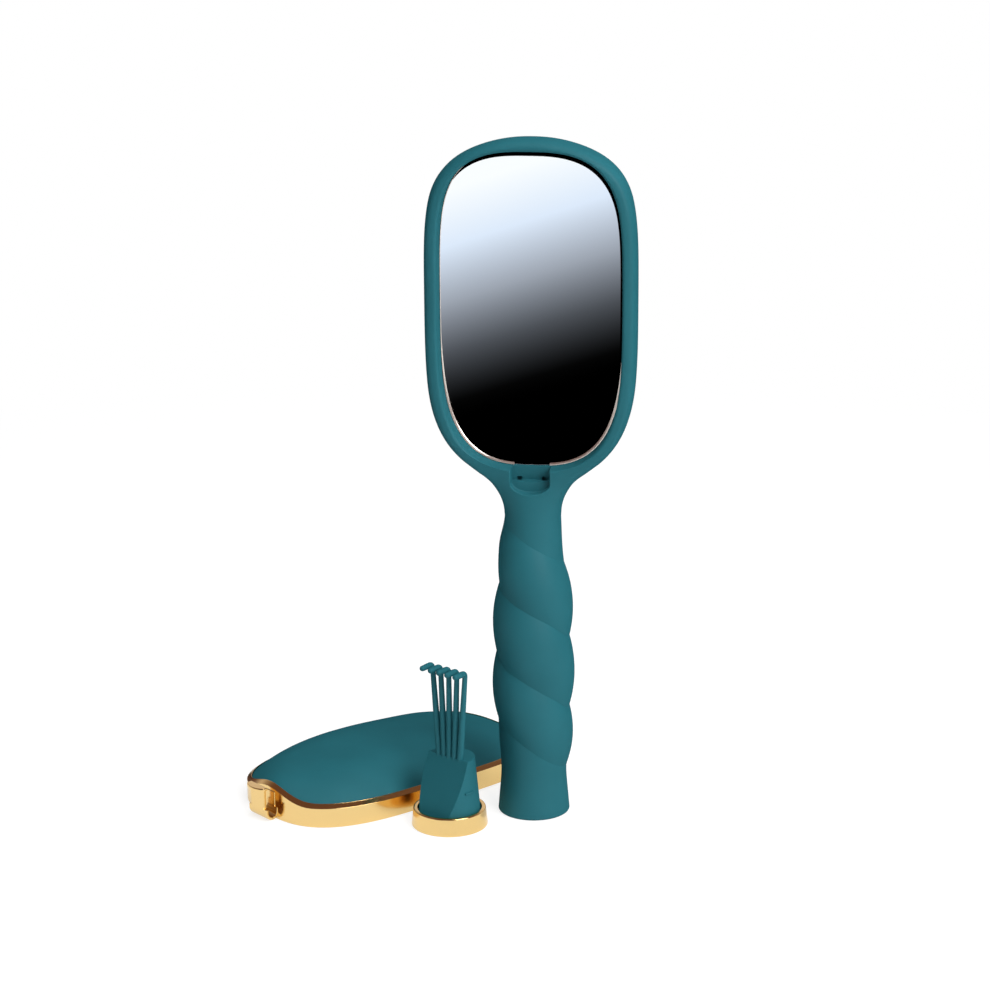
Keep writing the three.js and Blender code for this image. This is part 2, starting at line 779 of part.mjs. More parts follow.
// A tine tapers as it rises, bends over in a knuckle and ends in a flattened tip
function tine(index) {
  const place = index - (tineCount - 1) / 2;
  const line = tineSetback - wedgeTopOffset;
  const foot = new THREE.Vector3(place * tineSpacing, line, rakeTop - tineRoot);
  const knee = new THREE.Vector3(place * tineTipSpacing, line, tineTop);
  const below = new THREE.Vector3().lerpVectors(knee, foot, hookRadius / (tineTop - rakeTop));
  const tip = new THREE.Vector3(place * tineTipSpacing, line - hookLength, tineTop - hookDroop);
  const after = new THREE.Vector3().lerpVectors(knee, tip, hookRadius / hookLength);
  const path = new THREE.CurvePath();
  path.add(new THREE.LineCurve3(foot, below));
  path.add(new THREE.QuadraticBezierCurve3(below, knee, after));
  path.add(new THREE.LineCurve3(after, tip));
  const side = new THREE.Vector3().subVectors(knee, foot).cross(new THREE.Vector3().subVectors(tip, knee));
  side.normalize();
  const bend = 1 - (hookLength + 2 * hookRadius) / path.getLength();
  const rings = [];
  for (let step = 0; step <= tineSteps; step += 1) {
    const even = step / tineSteps;
    const bent = (even - tineStraightShare) / (1 - tineStraightShare);
    const share = bent < 0 ? (even / tineStraightShare) * bend : bend + bent * (1 - bend);
    const along = path.getTangentAt(share);
    const across = new THREE.Vector3().crossVectors(along, side);
    const radius = tineRootRadius + (tineTipRadius - tineRootRadius) * share;
    const ending = smoothstep(bend, 1, share);
    const thickness = radius * (1 - tineTipFlatShare * ending);
    const ring = [];
    for (let i = 0; i < tineFacets; i += 1) {
      const angle = (2 * Math.PI * i) / tineFacets;
      const point = path.getPointAt(share).addScaledVector(side, radius * Math.cos(angle));
      ring.push(point.addScaledVector(across, thickness * Math.sin(angle)));
    }
    rings.push(ring);
  }
  return loft(rings);
}

function cleanerRake() {
  const base = capFloor + seatGap;
  const cone = revolve([
    [0, base], [rakeFootRadius, base], [rakeTopRadius, rakeTop - rakeEdgeRound],
    [rakeTopRadius - rakeEdgeRound, rakeTop], [0, rakeTop],
  ]);
  const reach = rakeTop - base;
  const lean = Math.atan((wedgeFootOffset - wedgeTopOffset) / (rakeTop - capHeight));
  const wedge = new THREE.BoxGeometry(4 * rakeFootRadius, 2 * rakeFootRadius, 4 * reach);
  wedge.translate(0, -rakeFootRadius, 0);
  wedge.rotateX(-lean);
  wedge.translate(0, -wedgeTopOffset, rakeTop);
  const slope = (rakeFootRadius - rakeTopRadius) / reach;
  const surface = rakeFootRadius - slope * (ribLevel - base);
  const rib = new THREE.BoxGeometry(ribLength, 2 * ribRoot, ribHeight);
  rib.translate(0, ribRoot - ribReach - surface, ribLevel);
  rib.rotateZ(THREE.MathUtils.degToRad(ribTurn));
  let rake = cone.subtract(solidOf(wedge)).add(solidOf(rib));
  for (let i = 0; i < tineCount; i += 1) rake = rake.add(tine(i));
  return piece('cleaner_rake', rake, 'teal');
}

// The brush stands, the cover lies behind it to the left and the rake stands in front of that
function turned(x, y, degrees) {
  const up = new THREE.Vector3(0, 0, 1);
  return new THREE.Vector3(x, y, 0).applyAxisAngle(up, THREE.MathUtils.degToRad(degrees));
}

const brush = new THREE.Group();
brush.add(handleShell(), ...mirrorPieces(), bristleCushion(), cushionRing(), ...bristleFields());

const cleaner = new THREE.Group();
cleaner.add(cleanerCap(), cleanerRake());
cleaner.position.copy(turned(gripRadius + cleanerGap + capRadius, 0, cleanerBearing));
cleaner.rotation.z = THREE.MathUtils.degToRad(cleanerTurn);

const cover = new THREE.Group();
cover.add(coverBand(), coverDome(), latchTongue());
const rakeSide = cleaner.position.dot(turned(1, 0, coverTurn)) - capRadius;
cover.position.copy(turned(rakeSide - coverGap - coverOutline.half, coverSlide, coverTurn));
cover.rotation.z = THREE.MathUtils.degToRad(coverTurn);

const object = new THREE.Group();
object.add(brush, cover, cleaner);

// The origin lies on the table, under the middle of the whole group
object.updateMatrixWorld(true);
const reach = new THREE.Box3().setFromObject(object, true);
const middle = reach.getCenter(new THREE.Vector3());
for (const group of object.children) {
  group.position.x -= middle.x;
  group.position.y -= middle.y;
}

export default object;
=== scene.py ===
"""A boar bristle styling brush, its cover and cleaning rake: the pieces that show, their finishes and the studio."""

import math
import random

import bmesh
import bpy
import numpy as np
from bpy.props import FloatProperty, FloatVectorProperty, IntProperty, PointerProperty
from mathutils import Matrix, Quaternion, Vector


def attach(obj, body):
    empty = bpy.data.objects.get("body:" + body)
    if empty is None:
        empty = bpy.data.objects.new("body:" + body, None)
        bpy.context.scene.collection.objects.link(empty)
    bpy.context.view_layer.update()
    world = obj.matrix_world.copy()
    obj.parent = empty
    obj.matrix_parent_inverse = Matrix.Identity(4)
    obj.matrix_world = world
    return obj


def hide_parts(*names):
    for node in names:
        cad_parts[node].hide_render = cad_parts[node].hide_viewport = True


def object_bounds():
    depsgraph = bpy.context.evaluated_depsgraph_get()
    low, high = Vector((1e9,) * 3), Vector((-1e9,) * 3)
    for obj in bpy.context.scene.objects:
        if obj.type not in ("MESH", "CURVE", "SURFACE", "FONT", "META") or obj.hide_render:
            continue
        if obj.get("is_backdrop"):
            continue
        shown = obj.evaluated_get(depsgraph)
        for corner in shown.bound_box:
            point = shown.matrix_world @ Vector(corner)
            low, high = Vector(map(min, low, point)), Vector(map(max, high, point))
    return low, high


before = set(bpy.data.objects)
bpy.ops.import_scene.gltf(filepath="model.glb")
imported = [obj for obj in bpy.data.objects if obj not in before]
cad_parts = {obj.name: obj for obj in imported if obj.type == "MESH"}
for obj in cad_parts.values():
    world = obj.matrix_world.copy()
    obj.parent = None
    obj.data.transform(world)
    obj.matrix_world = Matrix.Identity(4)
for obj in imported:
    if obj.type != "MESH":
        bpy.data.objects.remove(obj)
CAD_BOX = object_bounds()

bl_info = {
    "name": "Boar bristle styling brush",
    "version": (1, 0, 0),
    "blender": (4, 5, 0),
    "location": "3D View > Sidebar > Styling Brush",
    "description": "Dresses the styling brush, its cover and its cleaning rake, and sets up the studio",
    "category": "Object",
}

MM = 0.001
# A length that counts as none
HAIR = 1e-7
OUTLINE_POINTS = 192
ROUND_POINTS = 96
GRIP_COLUMNS = 144

# Slot and material of each finish
SHELL_FINISH = ("soft_touch_shell", "soft_touch_lacquer_on_abs")
GOLD_FINISH = ("gold_plating", "gold_plating_on_abs")
TRIM_FINISH = ("gold_plating", "pale_gold_plating_on_abs")
MIRROR_FINISH = ("mirror", "silvered_acrylic")
CUSHION_FINISH = ("cushion_rubber", "moulded_natural_rubber")
BRISTLE_FINISH = ("bristles", "dressed_boar_bristle")

# Places of the three groups, in millimetres and degrees
BRUSH_PLACE = ((34.864, -22.248), 0)
COVER_PLACE = ((-18.252, 6.073), -42.3)
CLEANER_PLACE = ((6.234, -40.138), -32.5)


def linear(code):
    """Linear colour of an sRGB hex value."""
    parts = [int(code[i : i + 2], 16) / 255 for i in (1, 3, 5)]
    return tuple(p / 12.92 if p <= 0.04045 else ((p + 0.055) / 1.055) ** 2.4 for p in parts)


# ---- settings


def length_setting(name, description, millimetres):
    return FloatProperty(name=name, description=description, default=millimetres * MM, unit="LENGTH")


def power_setting(name, description, watts):
    return FloatProperty(name=name, description=description, default=watts, unit="POWER")


def colour_setting(name, description, code):
    return FloatVectorProperty(
        name=name, description=description, default=linear(code), subtype="COLOR", min=0, max=1
    )


class BrushSizes(bpy.types.PropertyGroup):
    """Sizes of the brush, the cover and the rake."""

    head_width: length_setting("Head width", "Width of the head at its widest line", 74.6)
    head_thickness: length_setting("Head thickness", "From the mirror side to the bristle side", 20)
    neck_radius: length_setting("Neck radius", "Radius where the grip ends and the neck widens", 10.05)
    grip_radius: length_setting("Grip radius", "Largest radius of the twisted grip", 14.7)
    twist_pitch: length_setting("Twist pitch", "Rise of the wound lobe in one turn", 25.9)
    lobe_height: length_setting("Lobe height", "How far the wound lobe swells out", 1.7)
    lip_round: length_setting("Lip rounding", "Radius of the lip round the mirror recess", 1.1)
    bristle_length: length_setting("Bristle length", "From the cushion to the tips", 13)
    bristles_in_tuft: IntProperty(name="Bristles in a tuft", description="Bristles that share one hole", default=13)
    dome_height: length_setting("Dome height", "Rise of the cover's dome over its band", 10.25)
    tine_radius: length_setting("Tine radius", "Radius of a rake tine at its root", 1.3)


class BrushColours(bpy.types.PropertyGroup):
    """Colours of the finishes."""

    shell: colour_setting("Shell", "Soft-touch lacquer", "#23646E")
    gold: colour_setting("Gold", "Gold plating at normal view", "#ECCA88")
    pale_gold: colour_setting("Pale gold", "Plating of the mirror's trim", "#FBEFE4")
    silver: colour_setting("Silver", "Silvering of the mirror", "#EEF2F4")
    rubber: colour_setting("Rubber", "Cushion rubber", "#1E4A53")
    foam: colour_setting("Foam", "Foam pad under the mirror", "#D9D9D4")
    bristle_root: colour_setting("Bristle root", "Bristle colour at the cushion", "#17110D")
    bristle_tip: colour_setting("Bristle tip", "Bristle colour at the flagged tips", "#5E4631")


class BrushStudio(bpy.types.PropertyGroup):
    """Camera and lamps."""

    focal_length: FloatProperty(
        name="Focal length", description="Focal length of the camera", default=112.5, unit="CAMERA"
    )
    key_power: power_setting("Key power", "Power of the large lamp at the right", 31)
    fill_power: power_setting("Fill power", "Power of the lamp at the left", 0.3)
    top_power: power_setting("Top power", "Power of the lamp above", 15)
    ambient: FloatProperty(name="Ambient", description="Level of the room's light", default=0.2, min=0, max=2)


class StylingBrush(bpy.types.PropertyGroup):
    """All settings of the styling brush."""

    sizes: PointerProperty(type=BrushSizes)
    colours: PointerProperty(type=BrushColours)
    studio: PointerProperty(type=BrushStudio)


# ---- materials


def add(tree, kind, inputs=None, **settings):
    """Adds a node with its settings. An input is a value, another node's output, or a node for its first output."""
    node = tree.nodes.new(kind)
    for name, value in settings.items():
        setattr(node, name, value)
    for name, value in (inputs or {}).items():
        if isinstance(value, bpy.types.Node):
            value = value.outputs[0]
        if isinstance(value, bpy.types.NodeSocket):
            tree.links.new(value, node.inputs[name])
        else:
            node.inputs[name].default_value = value
    return node


def blank(name):
    """A material with nothing in its tree but Object coordinates."""
    material = bpy.data.materials.new(name)
    material.use_nodes = True
    tree = material.node_tree
    tree.nodes.clear()
    return material, tree, add(tree, "ShaderNodeTexCoord").outputs["Object"]


def per_metre(millimetres):
    """Scale of a noise whose features are that far apart, for Object coordinates in metres."""
    return 1 / (millimetres * MM)


# The part of a noise's range that shows, spread over the range that is asked for
NOISE = {"From Min": 0.3, "From Max": 0.7}


def soft_touch_lacquer(colour):
    # Soft-touch polyurethane lacquer on moulded ABS: satin, with a fine grain and faint handling marks
    material, tree, places = blank("soft_touch_lacquer_on_abs")
    grain = add(tree, "ShaderNodeTexNoise", {"Vector": places, "Scale": per_metre(0.35), "Detail": 3.0})
    marks = add(tree, "ShaderNodeTexNoise", {"Vector": places, "Scale": per_metre(14), "Detail": 5.0})
    sheen = add(tree, "ShaderNodeMapRange", {"Value": marks, **NOISE, "To Min": 0.5, "To Max": 0.58})
    wear = add(tree, "ShaderNodeMapRange", {"Value": marks, **NOISE, "To Min": 0.96, "To Max": 1.04})
    worn = add(tree, "ShaderNodeHueSaturation", {"Color": (*colour, 1), "Value": wear})
    relief = add(tree, "ShaderNodeBump", {"Height": grain, "Strength": 0.06, "Distance": 0.12 * MM})
    shader = add(
        tree, "ShaderNodeBsdfPrincipled",
        {
            "Base Color": worn, "Roughness": sheen,
            "Normal": relief, "Specular IOR Level": 0.0,
            "Coat Weight": 0.05, "Coat Roughness": 0.5, "Coat IOR": 3.0,
        },
    )
    add(tree, "ShaderNodeOutputMaterial", {"Surface": shader})
    return material


def gold_plating(colour, name="gold_plating_on_abs", low=0.13, high=0.19):
    # Gold-tone electroplating on polished ABS: bright, with the slight ripple of the moulding under it
    material, tree, places = blank(name)
    ripple = add(tree, "ShaderNodeTexNoise", {"Vector": places, "Scale": per_metre(6), "Detail": 2.0})
    haze = add(tree, "ShaderNodeTexNoise", {"Vector": places, "Scale": per_metre(2.2), "Detail": 4.0})
    rough = add(tree, "ShaderNodeMapRange", {"Value": haze, **NOISE, "To Min": low, "To Max": high})
    relief = add(tree, "ShaderNodeBump", {"Height": ripple, "Strength": 0.12, "Distance": 0.4 * MM})
    shader = add(
        tree, "ShaderNodeBsdfPrincipled",
        {
            "Base Color": (*colour, 1), "Metallic": 1.0, "Roughness": rough,
            "Normal": relief,
        },
    )
    add(tree, "ShaderNodeOutputMaterial", {"Surface": shader})
    return material


def silvered_mirror(colour):
    # Silvered acrylic plate: mirror-bright, with the faint unevenness of a cast sheet
    material, tree, places = blank("silvered_acrylic")
    haze = add(tree, "ShaderNodeTexNoise", {"Vector": places, "Scale": per_metre(25), "Detail": 2.0})
    rough = add(tree, "ShaderNodeMapRange", {"Value": haze, **NOISE, "To Min": 0.002, "To Max": 0.008})
    shader = add(
        tree, "ShaderNodeBsdfPrincipled",
        {"Base Color": (*colour, 1), "Metallic": 1.0, "Roughness": rough},
    )
    add(tree, "ShaderNodeOutputMaterial", {"Surface": shader})
    return material


def cushion_rubber(colour):
    # Moulded natural rubber: matt, with a dusty bloom and a fine skin
    material, tree, places = blank("moulded_natural_rubber")
    skin = add(tree, "ShaderNodeTexNoise", {"Vector": places, "Scale": per_metre(0.5), "Detail": 4.0})
    bloom = add(tree, "ShaderNodeTexNoise", {"Vector": places, "Scale": per_metre(9), "Detail": 5.0})
    dust = add(tree, "ShaderNodeMapRange", {"Value": bloom, **NOISE, "To Min": 0.85, "To Max": 1.2})
    tint = add(tree, "ShaderNodeHueSaturation", {"Color": (*colour, 1), "Value": dust})
    relief = add(tree, "ShaderNodeBump", {"Height": skin, "Strength": 0.2, "Distance": 0.2 * MM})
    shader = add(
        tree, "ShaderNodeBsdfPrincipled",
        {
            "Base Color": tint, "Roughness": 0.62, "Normal": relief,
            "IOR": 1.52, "Sheen Weight": 0.15, "Sheen Roughness": 0.5,
        },
    )
    add(tree, "ShaderNodeOutputMaterial", {"Surface": shader})
    return material


def boar_bristle(root, tip):
    # Dressed boar bristle: dark and waxy at the root, lighter and split at the tip
    material, tree, _ = blank("dressed_boar_bristle")
    along = add(tree, "ShaderNodeAttribute", attribute_name="along")
    strand = add(tree, "ShaderNodeAttribute", attribute_name="strand")
    fade = add(tree, "ShaderNodeMapRange", {"Value": along.outputs["Fac"], "From Min": 0.35})
    # The two colours of a colour mix are its inputs 6 and 7, and their mixture is its output 2
    mixed = add(
        tree, "ShaderNodeMix", {"Factor": fade, 6: (*root, 1), 7: (*tip, 1)}, data_type="RGBA"
    )
    own = add(tree, "ShaderNodeMapRange", {"Value": strand.outputs["Fac"], "To Min": 0.6, "To Max": 1.5})
    shade = add(tree, "ShaderNodeHueSaturation", {"Color": mixed.outputs[2], "Value": own})
    shader = add(
        tree, "ShaderNodeBsdfPrincipled", {"Base Color": shade, "Roughness": 0.38, "IOR": 1.55}
    )
    add(tree, "ShaderNodeOutputMaterial", {"Surface": shader})
    return material


def closed_cell_foam(colour):
    # Closed-cell polyethylene foam tape: matt, with small open pores on the cut face, darker towards their middles as
    # painted shade
    material, tree, places = blank("closed_cell_foam")
    pores = add(tree, "ShaderNodeTexVoronoi", {"Vector": places, "Scale": per_metre(0.6)})
    relief = add(tree, "ShaderNodeBump", {"Height": pores, "Strength": 0.4, "Distance": 0.3 * MM})
    # Painted shade: darker towards the middle of each pore
    pore_shade = add(tree, "ShaderNodeMapRange", {"Value": pores, "To Min": 0.85, "To Max": 1.05})
    tint = add(tree, "ShaderNodeHueSaturation", {"Color": (*colour, 1), "Value": pore_shade})
    shader = add(
        tree, "ShaderNodeBsdfPrincipled",
        {"Base Color": tint, "Roughness": 0.9, "Normal": relief},
    )
    add(tree, "ShaderNodeOutputMaterial", {"Surface": shader})
    return material


def finish_material(name):
    """The finish of that name, made once."""
    colours = bpy.context.scene.styling_brush.colours
    makers = {
        "soft_touch_lacquer_on_abs": lambda: soft_touch_lacquer(colours.shell),
        "gold_plating_on_abs": lambda: gold_plating(colours.gold),
        # The mirror's trim is plated paler and satin
        "pale_gold_plating_on_abs": lambda: gold_plating(colours.pale_gold, "pale_gold_plating_on_abs", 0.3, 0.36),
        "silvered_acrylic": lambda: silvered_mirror(colours.silver),
        "moulded_natural_rubber": lambda: cushion_rubber(colours.rubber),
        "dressed_boar_bristle": lambda: boar_bristle(colours.bristle_root, colours.bristle_tip),
        "closed_cell_foam": lambda: closed_cell_foam(colours.foam),
    }
    return bpy.data.materials.get(name) or makers[name]()


# ---- modelling


def deselect():
    if bpy.context.mode != "OBJECT":
        bpy.ops.object.mode_set(mode="OBJECT")
    bpy.ops.object.select_all(action="DESELECT")


def only(piece):
    """Makes a piece the active and only selected object."""
    deselect()
    piece.select_set(True)
    bpy.context.view_layer.objects.active = piece


def name_piece(piece, name):
    piece.name = name
    piece.data.name = name
    return piece


def drawn(name, rings, ends="cap", closed=False):
    """Draws a piece ring by ring from a circle: the last loop of edges is extruded, and the new loop is laid in its
    place. Rings are lists of points in millimetres. The ends are capped, drawn together in a pole, or left open."""
    count = len(rings[0])
    deselect()
    bpy.ops.mesh.primitive_circle_add(vertices=count, radius=0.01, fill_type="NOTHING")
    piece = name_piece(bpy.context.object, name)
    bpy.ops.object.mode_set(mode="EDIT")
    bpy.ops.mesh.select_mode(type="VERT")
    bpy.ops.mesh.select_all(action="SELECT")
    shape = bmesh.from_edit_mesh(piece.data)
    shape.verts.ensure_lookup_table()
    first = loop = list(range(count))
    for i, point in zip(loop, rings[0]):
        shape.verts[i].co = Vector(point) * MM
    for ring in rings[1:] + ([rings[0]] if closed else []):
        bpy.ops.mesh.extrude_edges_move()
        shape = bmesh.from_edit_mesh(piece.data)
        shape.verts.ensure_lookup_table()
        shape.verts.index_update()
        after = []
        for i, point in zip(loop, ring):
            old = shape.verts[i]
            new = next(e.other_vert(old) for e in old.link_edges if e.other_vert(old).select)
            new.co = Vector(point) * MM
            after.append(new.index)
        loop = after
    if closed:
        bpy.ops.mesh.select_all(action="SELECT")
        bpy.ops.mesh.remove_doubles(threshold=HAIR)
    else:
        # The last end comes first, so that the numbers of the first ring's points still hold
        first_end, last_end = ends if isinstance(ends, tuple) else (ends, ends)
        for end, members in ((last_end, loop), (first_end, first)):
            bpy.ops.mesh.select_all(action="DESELECT")
            shape = bmesh.from_edit_mesh(piece.data)
            shape.verts.ensure_lookup_table()
            for i in members:
                shape.verts[i].select = True
            shape.select_flush(True)
            bmesh.update_edit_mesh(piece.data)
            if end == "cap":
                bpy.ops.mesh.edge_face_add()
            elif end == "pole":
                bpy.ops.mesh.merge(type="CENTER")
    outwards()
    return piece


def outwards():
    """Turns all faces of the edited piece outwards, and leaves edit mode."""
    bpy.ops.mesh.select_all(action="SELECT")
    bpy.ops.mesh.normals_make_consistent(inside=False)
    bpy.ops.object.mode_set(mode="OBJECT")


def boxed(name, low, high):
    """A block between two corners, in millimetres, pulled out of a plane."""
    deselect()
    bpy.ops.mesh.primitive_plane_add(size=MM, location=(0, 0, 0))
    piece = name_piece(bpy.context.object, name)
    bpy.ops.object.mode_set(mode="EDIT")
    bpy.ops.mesh.select_all(action="SELECT")
    bpy.ops.transform.resize(value=(high[0] - low[0], high[1] - low[1], 1))
    bpy.ops.transform.translate(
        value=((low[0] + high[0]) / 2 * MM, (low[1] + high[1]) / 2 * MM, low[2] * MM)
    )
    bpy.ops.mesh.extrude_region_move(TRANSFORM_OT_translate={"value": (0, 0, (high[2] - low[2]) * MM)})
    outwards()
    return piece


def quarter(steps):
    """Angles of a quarter turn, for a rounded edge of that many steps."""
    return [math.pi / 2 * k / steps for k in range(steps + 1)]


def circle(radius, z):
    """Ring round the Z axis."""
    turns = [2 * math.pi * i / ROUND_POINTS for i in range(ROUND_POINTS)]
    return [(radius * math.cos(t), radius * math.sin(t), z) for t in turns]


def linked(name, points, faces):
    """A piece from points in metres and faces, in the scene."""
    mesh = bpy.data.meshes.new(name)
    mesh.from_pydata(points, [], faces)
    mesh.validate()
    piece = bpy.data.objects.new(name, mesh)
    bpy.context.scene.collection.objects.link(piece)
    return piece


def joined(piece, *parts):
    """Makes the parts one mesh with the piece."""
    only(piece)
    for part in parts:
        part.select_set(True)
    bpy.ops.object.join()


def cut(piece, tool):
    """Cuts a tool out of a piece and removes it."""
    only(piece)
    bpy.ops.object.modifier_add(type="BOOLEAN")
    boolean = piece.modifiers[-1]
    boolean.object = tool
    boolean.operation = "DIFFERENCE"
    boolean.solver = "MANIFOLD"
    bpy.ops.object.modifier_apply(modifier=boolean.name)
    bpy.data.objects.remove(tool)


def soften(piece, width, segments=3, angle=40):
    """Rounds the edges of a piece that are sharper than the angle."""
    only(piece)
    bpy.ops.object.modifier_add(type="BEVEL")
    bevel = piece.modifiers[-1]
    bevel.width = width * MM
    bevel.segments = segments
    bevel.limit_method = "ANGLE"
    bevel.angle_limit = math.radians(angle)
    bevel.harden_normals = False
    bpy.ops.object.modifier_apply(modifier=bevel.name)


def finished(piece, place, body, finish, nodes, angle=32, weighted=True):
    """Puts a piece in its place, smooths it, gives it its finish, hangs it on its body, and hides the CAD nodes that it
    stands for.
    """
    slot, material = finish
    (x, y), turn = place
    piece.data.transform(Matrix.Translation((x * MM, y * MM, 0)) @ Matrix.Rotation(math.radians(turn), 4, "Z"))
    only(piece)
    bpy.ops.object.shade_smooth_by_angle(angle=math.radians(angle))
    if weighted:
        bpy.ops.object.modifier_add(type="WEIGHTED_NORMAL")
        weight = piece.modifiers[-1]
        weight.keep_sharp = True
        bpy.ops.object.modifier_apply(modifier=weight.name)
    piece.data.materials.clear()
    piece.data.materials.append(finish_material(material))
    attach(piece, body)
    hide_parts(*nodes)


def kept(node, material):
    """A CAD node whose shape is right, with its finish."""
    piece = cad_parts[node]
    piece.data.materials.clear()
    piece.data.materials.append(finish_material(material))


def smooth(low, high, value):
    t = np.clip((value - low) / (high - low), 0, 1)
    return t * t * (3 - 2 * t)


# ---- shell of the brush

OVERALL_HEIGHT = 248
HEAD_MIDDLE = 194
HEAD_ABOVE, HEAD_BELOW = 54, 69.5
# Power of an outline's curve at the sides and at the ends, and where along it the change starts and how it goes
HEAD_POWERS = (3.55, 2.4)
END_POWER_START = 0.67
END_POWER_RISE = 1.5
# Rounded edges of the head: how far they draw in, and over what depth
FRONT_EDGE = (2.6, 5)
BACK_EDGE = (5, 12)
NECK_HEIGHT = 112
FLARE_TOP = 141
# Depth of the point that the columns of the head's skin spread from
HEAD_STAR = -3.5
# Half width, reach above and reach below of the mirror's opening and of the cushion
OPENING = (32.4, 50.1, 63.2)
OPENING_POWERS = (3.6, 3.05)
CUSHION = (29.7, 46.4, 61.9)
RECESS_FLOOR = 1.3
CUSHION_FLOOR = 2.9
MOUTH_ROUND = 0.5
OVERRUN = 1
# Catch: the D-shaped thumb hollow, the slot for the latch behind it, and two keyholes in the slot's back
RIM_FOOT = 130.8
CATCH_FLOOR = 126.0
CATCH_HALF = 6.95
CATCH_FRONT, CATCH_BACK = -11, -2.4
CATCH_TOP = RIM_FOOT + 4.2
CATCH_ROUND = 0.45
THUMB_FLOOR = -6.3
THUMB_REACH = 3.8
THUMB_TOP = RIM_FOOT + 4
THUMB_CHAMFER = 0.3
THUMB_OVERRUN = -1.2
THUMB_STEPS = 32
KEYHOLE = {"inner": 3.5, "outer": 5.3, "height": 1.0, "before": 1.5, "depth": 2, "sink": 0.8}
BORE_RADIUS = 11.35
BORE_DEPTH = 56
BORE_END_SHARE = 0.6
# Rounded mouth of the bore: height and how much wider it is there
BORE_MOUTH = [(-1, 0.4), (0, 0.4), (0.12, 0.12), (0.4, 0)]

# Grip radii between the lobes, as shares of the neck height and of the grip radius
GRIP_SHARES = [
    (0, 0.888), (0.04, 0.862), (0.143, 0.806), (0.25, 0.85), (0.4, 0.892),
    (0.55, 0.892), (0.67, 0.872), (0.775, 0.816), (0.885, 0.722), (1, 0.68367),
]
LOBE_PHASES = [
    0, 0.004, 0.015, 0.035, 0.065, 0.105, 0.155, 0.215, 0.285, 0.36, 0.44,
    0.52, 0.6, 0.68, 0.755, 0.82, 0.875, 0.92, 0.955, 0.98, 0.995,
]
# Lift of the creases over an even winding, against the turns wound
CREASE_LIFTS = [
    (-1.5, 0), (-0.4, -0.4), (-0.15, -0.3), (-0.05, 0.1), (0.05, 1.0), (0.15, 1.6), (0.25, 2.5), (0.5, 1.8),
    (0.8, 0.3), (0.9, 0.8), (0.99, 1.7), (1.09, 1.8), (1.19, 0.2), (1.28, 0.8), (1.5, 1.0), (1.8, 0.5),
    (1.89, 0.1), (1.95, 0.75), (2.03, 0.75), (2.12, 0), (2.2, -1.2), (2.28, 0.3), (2.5, 1.0), (2.8, 1.8),
    (2.9, 2.3), (2.97, 2.1), (3.05, 1.4), (3.13, 1.2), (3.2, 1.8), (3.28, 2.8), (3.5, 2.4), (4.5, 0),
]
CREASE_TOP = 102.8
CREASE_SWAY = 3.7
# Where the lobe swells and dies away: in turns at its two ends, and in height under the neck
LOBE_START, LOBE_END, LOBE_TOP = (-0.52, -0.28), (2.38, 2.62), (101, 115)
TURNS = range(5, -3, -1)
ROW_MARGIN = 0.35
GRIP_EDGE = 0.8
GRIP_EDGE_STEPS = 4
NECK_ROWS, LOWER_HEAD_ROWS, UPPER_HEAD_ROWS = 30, 30, 50
HALVINGS = 44
# Directions in which the front of the neck and head is looked up
FRONT_ANGLES = np.linspace(-1.5, 1.5, 601)
# Step between the labels of the rows at the foot, more than any row above them has
FOOT_LABEL = 1e30
# Half widths of the neck as it widens, at heights
FLARE = [
    (116, 10.45), (120.1, 11.78), (124.6, 14.44), (127.2, 17.0), (129.0, 19.4),
    (131.6, 22.6), (133.4, 24.75), (136.0, 27.2), (138.5, 29.15),
]


def outline_reach(outline, angle, inset=0.0, powers=HEAD_POWERS):
    """Reach of a rounded oblong outline from the middle of its widest line. The sides are flat and the ends rounder."""
    half, above, below = outline
    c, s = abs(math.cos(angle)), abs(math.sin(angle))
    rise = max(0.0, (s - END_POWER_START) / (1 - END_POWER_START)) ** END_POWER_RISE
    power = powers[0] + (powers[1] - powers[0]) * rise
    along = (above if math.sin(angle) >= 0 else below) - inset
    return ((c / (half - inset)) ** power + (s / along) ** power) ** (-1 / power)


def oblong(outline, inset=0.0, share=1.0, powers=HEAD_POWERS, count=OUTLINE_POINTS):
    """Points of an outline as [across, along] pairs round its widest line."""
    pairs = []
    for i in range(count):
        angle = 2 * math.pi * i / count
        reach = share * outline_reach(outline, angle, inset, powers)
        pairs.append((reach * math.cos(angle), reach * math.sin(angle)))
    return pairs


def standing(outline, y, inset=0.0, share=1.0, powers=HEAD_POWERS, count=OUTLINE_POINTS):
    """Ring of an outline in the head, at a depth."""
    return [(a, y, HEAD_MIDDLE + b) for a, b in oblong(outline, inset, share, powers, count)]


def lying(outline, z, inset=0.0, share=1.0, count=OUTLINE_POINTS):
    """Ring of the mirror opening's outline in the cover, at a height."""
    return [(a, b, z) for a, b in oblong(outline, inset, share, OPENING_POWERS, count)]


def through(stations, z):
    """Value at z of a smooth curve through stations [z, value]."""
    last = len(stations) - 1
    k = 0
    while k < last - 1 and z > stations[k + 1][0]:
        k += 1
    (z0, r0), (z1, r1) = stations[k], stations[k + 1]

    def slope(i):
        a, b = stations[max(i - 1, 0)], stations[min(i + 1, last)]
        return (b[1] - a[1]) / (b[0] - a[0]) * (z1 - z0)

    t = min(max((z - z0) / (z1 - z0), 0), 1)
    ends = (2 * t**3 - 3 * t**2 + 1) * r0 + (3 * t**2 - 2 * t**3) * r1
    return ends + (t**3 - 2 * t**2 + t) * slope(k) + (t**3 - t**2) * slope(k + 1)


def grip_profile(z, sizes):
    """Grip radius between the lobes at a height."""
    return through([(h * NECK_HEIGHT, r * sizes.grip_radius / MM) for h, r in GRIP_SHARES], z)


def crease_lift(wound):
    """How far a crease lies above its even winding, where the lobe has wound that many turns."""
    return through(CREASE_LIFTS, min(max(wound, CREASE_LIFTS[0][0]), CREASE_LIFTS[-1][0]))


